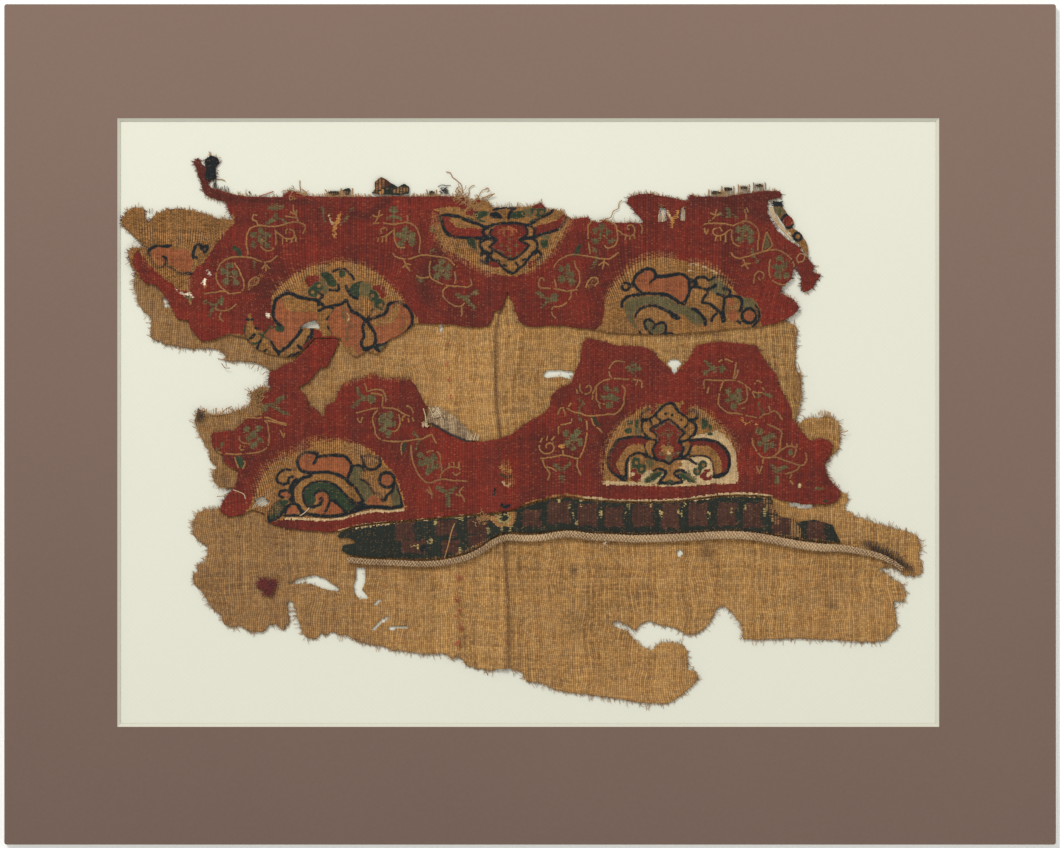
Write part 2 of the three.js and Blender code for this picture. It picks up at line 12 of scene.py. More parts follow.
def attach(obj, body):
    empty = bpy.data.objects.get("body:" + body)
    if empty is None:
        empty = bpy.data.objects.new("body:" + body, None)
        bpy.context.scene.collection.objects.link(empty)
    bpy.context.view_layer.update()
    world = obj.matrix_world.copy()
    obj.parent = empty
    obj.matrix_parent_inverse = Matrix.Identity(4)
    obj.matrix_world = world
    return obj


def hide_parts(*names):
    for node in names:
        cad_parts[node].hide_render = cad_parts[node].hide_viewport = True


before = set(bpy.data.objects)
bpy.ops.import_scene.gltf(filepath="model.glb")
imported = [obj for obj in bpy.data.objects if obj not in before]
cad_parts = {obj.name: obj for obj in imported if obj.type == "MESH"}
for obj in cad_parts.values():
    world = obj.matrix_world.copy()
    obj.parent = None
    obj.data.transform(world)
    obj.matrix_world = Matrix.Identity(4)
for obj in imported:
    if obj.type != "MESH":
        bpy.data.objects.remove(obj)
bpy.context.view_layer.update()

MM = 0.001
PICTURE_WIDTH = 512.05
CAMERA_HEIGHT = 2000.0
CAMERA_PLACE = (-0.05, 0.19)
SENSOR = 36.0
BOARD_FACE = 2.0
MAT_FACE = 3.8
CLOTH_FLOOR = 2.3
LAYER_LIFT = 1.3
GROUND_SHEET = 0.75
TAPESTRY_SHEET = 0.8
FAR = -9.0


# Camera, light and floor.
def make_camera():
    lens = bpy.data.cameras.new("camera")
    lens.sensor_width = SENSOR
    lens.lens = SENSOR * CAMERA_HEIGHT / PICTURE_WIDTH
    lens.clip_end = 20.0
    camera = bpy.data.objects.new("camera", lens)
    camera.location = (CAMERA_PLACE[0] * MM, CAMERA_PLACE[1] * MM, (CAMERA_HEIGHT + MAT_FACE) * MM)
    bpy.context.collection.objects.link(camera)
    bpy.context.scene.camera = camera


def make_light(name, place, aim, size, power, colour):
    lamp = bpy.data.lights.new(name, "AREA")
    lamp.shape = "DISK"
    lamp.size = size
    lamp.energy = power
    lamp.color = colour
    holder = bpy.data.objects.new(name, lamp)
    holder.location = place
    holder.rotation_mode = "QUATERNION"
    holder.rotation_quaternion = (Vector(aim) - Vector(place)).to_track_quat("-Z", "Y")
    bpy.context.collection.objects.link(holder)


def make_world(strength):
    world = bpy.data.worlds.new("studio")
    world.use_nodes = True
    back = world.node_tree.nodes["Background"]
    back.inputs["Color"].default_value = (1.0, 0.995, 0.985, 1.0)
    back.inputs["Strength"].default_value = strength
    bpy.context.scene.world = world


make_camera()
make_light("key", (-1.25, 1.9, 2.3), (0, 0, 0), 1.1, 52.0, (1.0, 0.985, 0.96))
make_light("fill", (1.3, -0.9, 1.7), (0, 0, 0), 1.3, 5.0, (0.98, 0.99, 1.0))
make_world(0.6)
bpy.context.scene.view_settings.view_transform = "Standard"


# Materials: sums on sockets are written as Python sums.
class Amount:
    """One number that changes over a surface; sums on it add Math nodes."""

    def __init__(self, finish, socket):
        self.finish = finish
        self.socket = socket

    def math(self, operation, *others, clamp=False):
        settings = {"operation": operation, "use_clamp": clamp}
        return self.finish.node("ShaderNodeMath", settings, dict(enumerate((self, *others)))).amount()

    def __add__(self, other):
        return self.math("ADD", other)

    __radd__ = __add__

    def __mul__(self, other):
        return self.math("MULTIPLY", other)

    __rmul__ = __mul__

    def __sub__(self, other):
        return self.math("SUBTRACT", other)

    def __rsub__(self, other):
        return (self * -1.0).math("ADD", other)

    def __truediv__(self, other):
        return self.math("DIVIDE", other)

    def __pow__(self, other):
        return self.math("POWER", other)

    def at_least(self, other):
        return self.math("MAXIMUM", other)

    def at_most(self, other):
        return self.math("MINIMUM", other)

    def size(self):
        return self.math("ABSOLUTE")

    def floor(self):
        return self.math("FLOOR")

    def sine(self):
        return self.math("SINE")

    def part(self):
        return self.math("FRACT")

    def ramp(self, low, high):
        """0 below low, 1 above high, and a straight slope between."""
        return ((self - low) / (high - low)).math("ADD", 0.0, clamp=True)


class Step:
    """A node that was just made, for reading its outputs."""

    def __init__(self, finish, node):
        self.finish = finish
        self.node = node

    def __getitem__(self, name):
        return self.node.outputs[name]

    def amount(self, name=0):
        return Amount(self.finish, self.node.outputs[name])


class Finish:
    """One material and its Principled shader."""

    def __init__(self, name, **sockets):
        self.material = bpy.data.materials.new(name)
        self.material.use_nodes = True
        self.tree = self.material.node_tree
        self.shader = self.tree.nodes["Principled BSDF"]
        self.shader.inputs["Specular IOR Level"].default_value = 0.25
        for socket, value in sockets.items():
            self.shader.inputs[socket.replace("_", " ")].default_value = value
        place = self.node("ShaderNodeTexCoord", {}, {})
        self.place = place["Object"]
        split = self.node("ShaderNodeSeparateXYZ", {}, {0: self.place})
        self.x = split.amount("X") * (1 / MM)
        self.y = split.amount("Y") * (1 / MM)
        self.z = split.amount("Z") * (1 / MM)

    def node(self, kind, settings, inputs):
        made = self.tree.nodes.new(kind)
        for name, value in settings.items():
            if name == "stops":
                self.fill_ramp(made.color_ramp, value)
            else:
                setattr(made, name, value)
        for name, value in inputs.items():
            self.join(made.inputs[name], value)
        return Step(self, made)

    def fill_ramp(self, ramp, stops):
        while len(ramp.elements) < len(stops):
            ramp.elements.new(1.0)
        for element, (place, colour) in zip(ramp.elements, stops):
            element.position = place
            element.color = colour

    def join(self, socket, value):
        if isinstance(value, Amount):
            self.tree.links.new(value.socket, socket)
        elif isinstance(value, bpy.types.NodeSocket):
            self.tree.links.new(value, socket)
        elif isinstance(value, tuple):
            socket.default_value = value[:len(socket.default_value)]
        else:
            socket.default_value = value

    def attribute(self, name):
        return self.node("ShaderNodeAttribute", {"attribute_name": name}, {}).amount("Fac")

    def noise(self, per_mm, detail=2.0, rough=0.5, twist=0.0, at=None):
        """Soft noise around 0.5; per_mm is one number or one for each axis."""
        scale = per_mm if isinstance(per_mm, tuple) else (per_mm,) * 3
        where = self.place if at is None else at
        reach = tuple(s / MM for s in scale) if at is None else scale
        moved = self.node("ShaderNodeVectorMath", {"operation": "MULTIPLY"}, {0: where, 1: reach})
        inputs = {"Vector": moved[0], "Scale": 1.0, "Detail": detail, "Roughness": rough, "Distortion": twist}
        return self.node("ShaderNodeTexNoise", {}, inputs).amount(0)

    def speckle(self, x, y=0.0, z=0.0):
        """A separate random number from 0 to 1 for each whole cell of x, y and z."""
        cell = self.node("ShaderNodeCombineXYZ", {}, {0: x, 1: y, 2: z})
        return self.node("ShaderNodeTexWhiteNoise", {"noise_dimensions": "3D"}, {"Vector": cell[0]}).amount("Value")

    def blend(self, mask, first, second, how="MIX"):
        settings = {"data_type": "RGBA", "blend_type": how, "clamp_factor": True}
        return self.node("ShaderNodeMix", settings, {0: mask, 6: first, 7: second})[2]

    def shade(self, colour, amount):
        """The colour made lighter or darker by an amount around 1."""
        grey = self.node("ShaderNodeCombineXYZ", {}, {0: amount, 1: amount, 2: amount})
        return self.node("ShaderNodeVectorMath", {"operation": "MULTIPLY"}, {0: colour, 1: grey[0]})[0]

    def bump(self, height, depth_mm, strength=1.0):
        inputs = {"Strength": strength, "Distance": depth_mm * MM, "Height": height}
        lifted = self.node("ShaderNodeBump", {}, inputs)
        self.join(self.shader.inputs["Normal"], lifted[0])

    def colour(self, value):
        self.join(self.shader.inputs["Base Color"], value)

    def roughness(self, value):
        self.join(self.shader.inputs["Roughness"], value)


def paint(red, green, blue):
    """A colour as seen on a screen, 0 to 255, turned into the linear numbers that the shader wants."""
    def linear(value):
        v = value / 255
        return v / 12.92 if v <= 0.04045 else ((v + 0.055) / 1.055) ** 2.4
    return (linear(red), linear(green), linear(blue), 1.0)


# Relief that all the layers of cloth share; it only ever lifts them off the board.
SEAM = np.array([
    (-10.4, -135), (-10.4, -117.8), (-10.2, -100), (-10.4, -80), (-12.0, -66), (-12.8, -55), (-14.0, -8),
    (-15.4, 5), (-16.4, 16), (-16.8, 28), (-16.4, 44), (-14.0, 58), (-12, 72), (-12, 120),
])
FOLDS = [
    ((32, -64), (62, -87), 5, 0.9), ((26, -68), (56, -91), 5, -0.25), ((-40, -87), (-12, -88), 5, 0.5),
    ((-35, -68), (-35, -112), 5, 0.5), ((-60, -95), (-36, -96), 5, 0.4), ((-14, 39), (16, 42), 5, 0.4),
    ((-16, -30), (-8, -14), 6, 0.5), ((140, -72), (158, -76), 6, 0.4),
]
FINE_FOLDS = [
    ((35, -66.5), (60, -85), 1.1, 0.55), ((39, -67.5), (61, -83.5), 1.3, -0.3), ((-34, -70), (-33.5, -108), 0.9, 0.3),
    ((-36, -86), (-14, -87.5), 1.4, 0.35), ((-14, -22), (-10, -24), 2.2, 0.5), ((-16, -36), (-12, -41), 1.6, 0.4),
    ((20, -99), (45, -92), 2.0, 0.3), ((-100, -88), (-70, -84), 2.5, 0.25), ((-60, 8), (-20, -12), 2.5, 0.3),
]
SEAM_RIDGE = ((-2.5, 5.0, 1.2), (-1.7, 1.4, 0.45), (0.4, 1.2, -0.5))


def distance(points, line, nearest=False):
    """Distance from each point to a polyline, and if asked how far along the line its nearest place is."""
    line = np.asarray(line, float)
    best = np.full(len(points), np.inf)
    along = np.zeros(len(points))
    run = 0.0
    for a, b in zip(line[:-1], line[1:]):
        way = b - a
        length = math.hypot(*way)
        if length < 1e-9:
            continue
        t = np.clip(((points - a) @ way) / length ** 2, 0, 1)
        gap = np.hypot(*(points - a - t[:, None] * way).T)
        closer = gap < best
        best[closer] = gap[closer]
        along[closer] = run + t[closer] * length
        run += length
    return (best, along) if nearest else best


def relief(points, fine=True):
    x, y = points.T
    z = 0.16 * (1 + np.sin(2 * math.pi * x / 57) * np.sin(2 * math.pi * y / 43))
    for start, end, width, height in FOLDS + (FINE_FOLDS if fine else []):
        z += height * np.exp(-((distance(points, (start, end)) / width) ** 2))
    from_seam = x - np.interp(y, SEAM[:, 1], SEAM[:, 0])
    for offset, width, height in SEAM_RIDGE[:3 if fine else 1]:
        z += height * np.exp(-(((from_seam - offset) / width) ** 2))
    if fine:
        z += 0.1 * np.sin(x / 7.3 + 1.3 * np.sin(y / 9.1)) * np.sin(y / 6.1 + 1.1 * np.sin(x / 11.0))
    return np.maximum(0, z)


def node_walls(name):
    """The upright walls of a CAD sheet as pairs of points seen from above, in millimetres."""
    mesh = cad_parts[name].data
    place = np.empty(len(mesh.vertices) * 3)
    mesh.vertices.foreach_get("co", place)
    place = place.reshape(-1, 3) / MM
    walls = []
    for face in mesh.polygons:
        if abs(face.normal.z) < 0.05:
            flat = place[list(face.vertices)][:, :2]
            pair = max(((a, b) for a in flat for b in flat), key=lambda ends: np.hypot(*(ends[0] - ends[1])))
            walls.append(pair)
    return walls


def node_tree(name):
    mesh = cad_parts[name].data
    return BVHTree.FromPolygons([v.co / MM for v in mesh.vertices], [list(p.vertices) for p in mesh.polygons])


class Outline:
    """The outline of one CAD sheet, for asking how deep inside it a point lies and where its edge is."""

    def __init__(self, name):
        self.tree = node_tree(name)
        walls = np.array(node_walls(name))
        self.starts = walls[:, 0]
        self.ways = walls[:, 1] - walls[:, 0]
        self.square = (self.ways ** 2).sum(1)
        ends = walls.reshape(-1, 2)
        self.low = ends.min(0)
        self.high = ends.max(0)

    def holds(self, x, y):
        return self.tree.ray_cast((x, y, 50.0), (0, 0, -1))[0] is not None

    def edge(self, points, batch=4000):
        """Nearest place on the edge to each point, and its distance."""
        places = np.empty_like(points)
        gaps = np.empty(len(points))
        for first in range(0, len(points), batch):
            some = points[first:first + batch]
            away = some[:, None, :] - self.starts[None]
            t = np.clip((away * self.ways[None]).sum(2) / self.square[None], 0, 1)
            near = self.starts[None] + t[..., None] * self.ways[None]
            gap = np.hypot(*(some[:, None, :] - near).transpose(2, 0, 1))
            pick = gap.argmin(1)
            row = np.arange(len(some))
            places[first:first + batch] = near[row, pick]
            gaps[first:first + batch] = gap[row, pick]
        return places, gaps

    def depth(self, points):
        gaps = self.edge(points)[1]
        inside = np.array([self.holds(x, y) for x, y in points])
        return np.where(inside, gaps, -gaps)


OUTLINES = {name: Outline(name) for name in (
    "ground_cloth_left", "ground_cloth_right", "tapestry_upper_band", "tapestry_lower_band", "checked_border",
    "lunette_scrap", "mending_patch", "border_scrap_large", *(f"border_scrap_{i}" for i in range(1, 8)),
)}


def layer_lift(points):
    """How far the ground cloth lifts what lies on it."""
    over = np.maximum(OUTLINES["ground_cloth_left"].depth(points), OUTLINES["ground_cloth_right"].depth(points))
    t = np.clip((over + 22) / 11, 0, 1)
    return LAYER_LIFT * t * t * (3 - 2 * t)


def uneven(points, seed, reach, size):
    """Smooth waves of the edge, so that no cut looks drawn with a rule."""
    draw = np.random.default_rng(seed)
    total = np.zeros(len(points))
    for _ in range(6):
        turn = draw.uniform(0, 2 * math.pi)
        wave = 2 * math.pi / (size * draw.uniform(0.5, 1.6))
        total += np.sin((points[:, 0] * math.cos(turn) + points[:, 1] * math.sin(turn)) * wave + draw.uniform(0, 6))
    return reach * total / 2.4


def finish_object(name, mesh, material=None):
    piece = bpy.data.objects.new(name, mesh)
    bpy.context.collection.objects.link(piece)
    if material is not None:
        mesh.materials.clear()
        mesh.materials.append(material)
    return piece


def weave_sheet(name, outline, pitch, holes, rag, seed):
    """A flat grid cut to an outline, with its rim drawn onto the edge; returns the bmesh and its points."""
    size = outline.high - outline.low + 4 * pitch
    middle = (outline.high + outline.low) / 2
    steps = np.ceil(size / pitch).astype(int)
    cloth = bmesh.new()
    bmesh.ops.create_grid(cloth, x_segments=int(steps[0]), y_segments=int(steps[1]), size=0.5)
    extent = steps * pitch
    bmesh.ops.scale(cloth, vec=(extent[0], extent[1], 1), verts=cloth.verts)
    bmesh.ops.translate(cloth, vec=(middle[0], middle[1], 0), verts=cloth.verts)
    centres = np.array([face.calc_center_median()[:2] for face in cloth.faces])
    inside = np.array([outline.holds(x, y) for x, y in centres])
    for hole in holes:
        inside &= distance(centres, hole["line"]) > hole["width"] / 2
    gone = [face for face, keep in zip(cloth.faces, inside) if not keep]
    bmesh.ops.delete(cloth, geom=gone, context="FACES")
    lone = [vert for vert in cloth.verts if not vert.link_faces]
    bmesh.ops.delete(cloth, geom=lone, context="VERTS")
    rim = [vert for vert in cloth.verts if vert.is_boundary]
    flat = np.array([vert.co[:2] for vert in rim])
    places, gaps = outline.edge(flat)
    shift = uneven(places, seed, rag, 5.0)[:, None] * 0.5 + np.random.default_rng(seed).uniform(-1, 1, flat.shape) * rag * 0.5
    for vert, place, gap, move in zip(rim, places, gaps, shift):
        if gap < 1.2 * pitch:
            target = place + move * 0.6
            vert.co.x, vert.co.y = target
    cloth.verts.index_update()
    points = np.array([vert.co[:2] for vert in cloth.verts])
    return cloth, points


def raise_sheet(cloth, heights, thick):
    """Lifts the flat grid so that it lies the thickness above the heights, where its upper face goes, and turns
    millimetres into metres.
    """
    for vert, z in zip(cloth.verts, heights):
        vert.co.z = z + thick
    bmesh.ops.scale(cloth, vec=(MM, MM, MM), verts=cloth.verts)


def close_shell(piece, thick):
    shell = piece.modifiers.new("thickness", "SOLIDIFY")
    shell.thickness = thick * MM
    shell.offset = -1
    shell.use_even_offset = False


def store(mesh, name, values):
    field = mesh.attributes.new(name, "FLOAT", "POINT")
    field.data.foreach_set("value", np.asarray(values, np.float32))


# Woven pattern: for each colour, how many millimetres inside it every point of the sheet lies.
COLOUR_ORDER = ("red", "tan", "cream", "pink", "olive", "green", "gold", "navy")


def dots(points):
    """Given points, written as "x,y x,y" in millimetres, as pairs of numbers."""
    if isinstance(points, str):
        return [tuple(float(number) for number in dot.split(",")) for dot in points.split()]
    return points


def curve(points, closed=False, steps=5):
    """A smooth line through given points."""
    points = [np.array(p, float) for p in dots(points)]
    if len(points) < 3:
        return np.array(points)
    if closed:
        ring = [points[-1], *points, points[0], points[1]]
    else:
        ring = [2 * points[0] - points[1], *points, 2 * points[-1] - points[-2]]
    line = []
    for p0, p1, p2, p3 in zip(ring[:-3], ring[1:-2], ring[2:-1], ring[3:]):
        for step in range(steps):
            t = step / steps
            line.append(0.5 * (
                2 * p1 + (p2 - p0) * t + (2 * p0 - 5 * p1 + 4 * p2 - p3) * t ** 2 + (3 * p1 - p0 - 3 * p2 + p3) * t ** 3
            ))
    line.append(ring[-2])
    return np.array(line)


def within(points, loop):
    """True for the points inside a closed line."""
    inside = np.zeros(len(points), bool)
    x, y = points.T
    for (x0, y0), (x1, y1) in zip(loop[:-1], loop[1:]):
        if y0 == y1:
            continue
        crosses = ((y0 > y) != (y1 > y)) & (x < (x1 - x0) * (y - y0) / (y1 - y0) + x0)
        inside ^= crosses
    return inside


class Weaving:
    """The colour fields of one sheet, painted in the order that the colours are laid."""

    def __init__(self, points):
        self.points = points
        self.fields = {colour: np.full(len(points), FAR) for colour in COLOUR_ORDER[1:]}
        self.extra = {"worn": np.zeros(len(points)), "deep": np.zeros(len(points)), "pale": np.full(len(points), FAR)}

    def lay(self, colour, near, inside):
        rank = COLOUR_ORDER.index(colour)
        for other in COLOUR_ORDER[rank + 1:]:
            self.fields[other][near] = np.minimum(self.fields[other][near], -inside)
        if rank:
            self.fields[colour][near] = np.maximum(self.fields[colour][near], inside)

    def beside(self, line, reach):
        low = line.min(0) - reach
        high = line.max(0) + reach
        return np.flatnonzero(((self.points > low) & (self.points < high)).all(1))

    def fill(self, colour, points, sharp=False):
        line = np.array([*points, points[0]], float) if sharp else curve(points, closed=True)
        near = self.beside(line, 3.0)
        if len(near):
            gap = distance(self.points[near], line)
            self.lay(colour, near, np.where(within(self.points[near], line), gap, -gap))

    def stroke(self, colour, points, width, closed=False):
        line = curve(points, closed)
        near = self.beside(line, 3.0)
        if len(near):
            self.lay(colour, near, width / 2 - distance(self.points[near], line))

    def disc(self, colour, x, y, radius, ring=None):
        near = self.beside(np.array([(x - radius, y - radius), (x + radius, y + radius)]), 3.0)
        if len(near):
            gap = np.hypot(*(self.points[near] - (x, y)).T)
            inside = radius - gap if ring is None else ring / 2 - np.abs(gap - radius)
            self.lay(colour, near, inside)

    def wear(self, points, reach, field="worn"):
        """Where the weft is worn off the warps, or dyed deeper, about a line."""
        line = curve(points)
        near = self.beside(line, 2 * reach)
        if len(near):
            worn = np.exp(-((distance(self.points[near], line) / reach) ** 2))
            self.extra[field][near] = np.maximum(self.extra[field][near], worn)

    def bleach(self, points, width):
        """Bare pale warps."""
        line = curve(points)
        near = self.beside(line, 3.0)
        if len(near):
            pale = width / 2 - distance(self.points[near], line)
            self.extra["pale"][near] = np.maximum(self.extra["pale"][near], pale)

    def follow(self, rows):
        """Runs a table of (what, colour, points, size) rows."""
        for what, colour, points, size in rows:
            points = dots(points)
            if what == "fill":
                self.fill(colour, points)
            elif what == "cut":
                self.fill(colour, points, sharp=True)
            elif what == "line":
                self.stroke(colour, points, size)
            elif what == "ring":
                for x, y in points:
                    self.disc(colour, x, y, size, ring=1.3)
            elif what == "disc":
                for x, y in points:
                    self.disc(colour, x, y, size)
            elif what in ("worn", "deep"):
                self.wear(points, size, what)
            elif what == "pale":
                self.bleach(points, size)

    def keep(self, mesh):
        for name, values in {**self.fields, **self.extra}.items():
            store(mesh, name, values)


# The warps stand upright, and fan out beside the shoulders of the arches.
FANS = (
    (-90, 34, 68, 4.2), (73, 38, 66, 4.2), (-95, 34, -22, 3.6), (67.5, 32, -2, 3.6), (-14, 30, 88, -3.4),
    (-175, 18, 82, 3.0),
)


def warp_count(points):
    """The number of the warp at each point, as millimetres across the fanned warps."""
    x, y = points.T
    count = x.copy()
    for middle, half, level, reach in FANS:
        across = (x - middle) / half
        pull = across * np.exp(-(np.abs(across) - 0.9) ** 2 / 0.22) * (np.abs(across) < 2.2)
        count -= reach * pull * np.tanh((y - level) / 9)
    return count


# Checked border: brown blocks on a blue-black ground, and a small medallion over the seam.
CHECK_BLOCKS = (
    (-60, -50, 4, 6), (-56, -59, 5, 3), (-40, -50, 4, 3.8), (-38, -59, 3.6, 3.4), (-25, -49, 4.6, 3.6),
    (-25, -56, 3.6, 3), (1, -45.4, 4, 4), (14.4, -42.4, 5, 5.4), (28, -43.6, 4.4, 5.4), (40.6, -44.6, 4, 5),
    (55, -44, 4.6, 5.4), (68.2, -44.2, 3.6, 6), (81.2, -43.4, 4, 5.6), (95.4, -43.4, 4, 5.6), (107.8, -44,
        4, 6),
    (122.4, -49, 4.2, 4), (138.6, -51, 3.8, 4.4), (118.6, -41, 2.4, 2.4),
)
CHECK_GLINTS = (
    (21, -44), (24.4, -38), (14, -36.6), (47, -39), (46, -43.4), (58.6, -38), (34, -43), (19, -39), (22, -47),
    (63, -43), (72.4, -43), (87, -44), (97, -42.6), (113.4, -42), (116.6, -46), (128, -50), (75, -39), (104,
        -39.4),
    (-9.6, -50), (-4, -51), (-13.6, -50.2), (-20, -51), (-46, -46.6), (-33, -45), (-28, -60.4), (-34, -61),
        (-48, -56),
)


def check_pattern():
    rows = []
    for x, y, half_wide, half_high in CHECK_BLOCKS:
        right = half_wide + 0.5
        corners = [(x - right, y - half_high), (x, y - half_high * 0.9), (x + right, y - half_high),
            (x + right * 0.8, y),
                   (x + right, y + half_high), (x, y + half_high * 0.92), (x - right * 0.9, y + half_high),
                       (x - right * 1.1, y)]
        rows.append(("fill", "pink", corners, 0))
    for x, y in CHECK_GLINTS:
        rows.append(("line", "gold", [(x, y - 1.1), (x + 0.2, y), (x - 0.1, y + 1.2)], 0.36))
    rows += [
        ("fill", "tan", "-25,-45.6 -22,-43.6 -18,-44.4 -16.4,-41.8 -12.6,-40.2 -8.8,-41 -6.8,-43.6 -7.6,-47 "
            "-10,-49 -14,-49.6 -17.2,-48.2 -18.6,-46.4 -22.4,-46.8", 0),
        ("fill", "red", "-15.8,-45.4 -14.4,-42.6 -11,-42.6 -9.6,-44.8 -11,-47 -14,-47.6", 0),
        ("ring", "gold", "-12.6,-45", 2.6),
        ("disc", "navy", "-14.6,-39.4 -10.6,-39.2", 1.0),
        ("line", "gold", "-57,-58.8 -54,-59", 0.8),
        ("disc", "navy", "-51.6,-60", 1.6),
        ("line", "cream", "-100,-52 -62,-47 -40,-45 -28,-44", 0.7),
        ("line", "tan", "-8,-38.6 0,-36 10,-33.8 22,-34.4", 0.7),
        ("line", "cream", "24,-35 50,-36.6 80,-36.2 98,-34.2 116,-35.2", 0.7),
        ("worn", "", "114,-36 116.6,-42 119,-47", 2.2),
        ("worn", "", "126.6,-46 128,-50 130,-54", 2.0),
        ("worn", "", "-70,-65 -50,-65.4 -34,-62.6 -20,-55.4", 0.9),
        ("worn", "", "20,-52 60,-53 100,-51.6 146,-57", 0.9),
    ]
    return rows
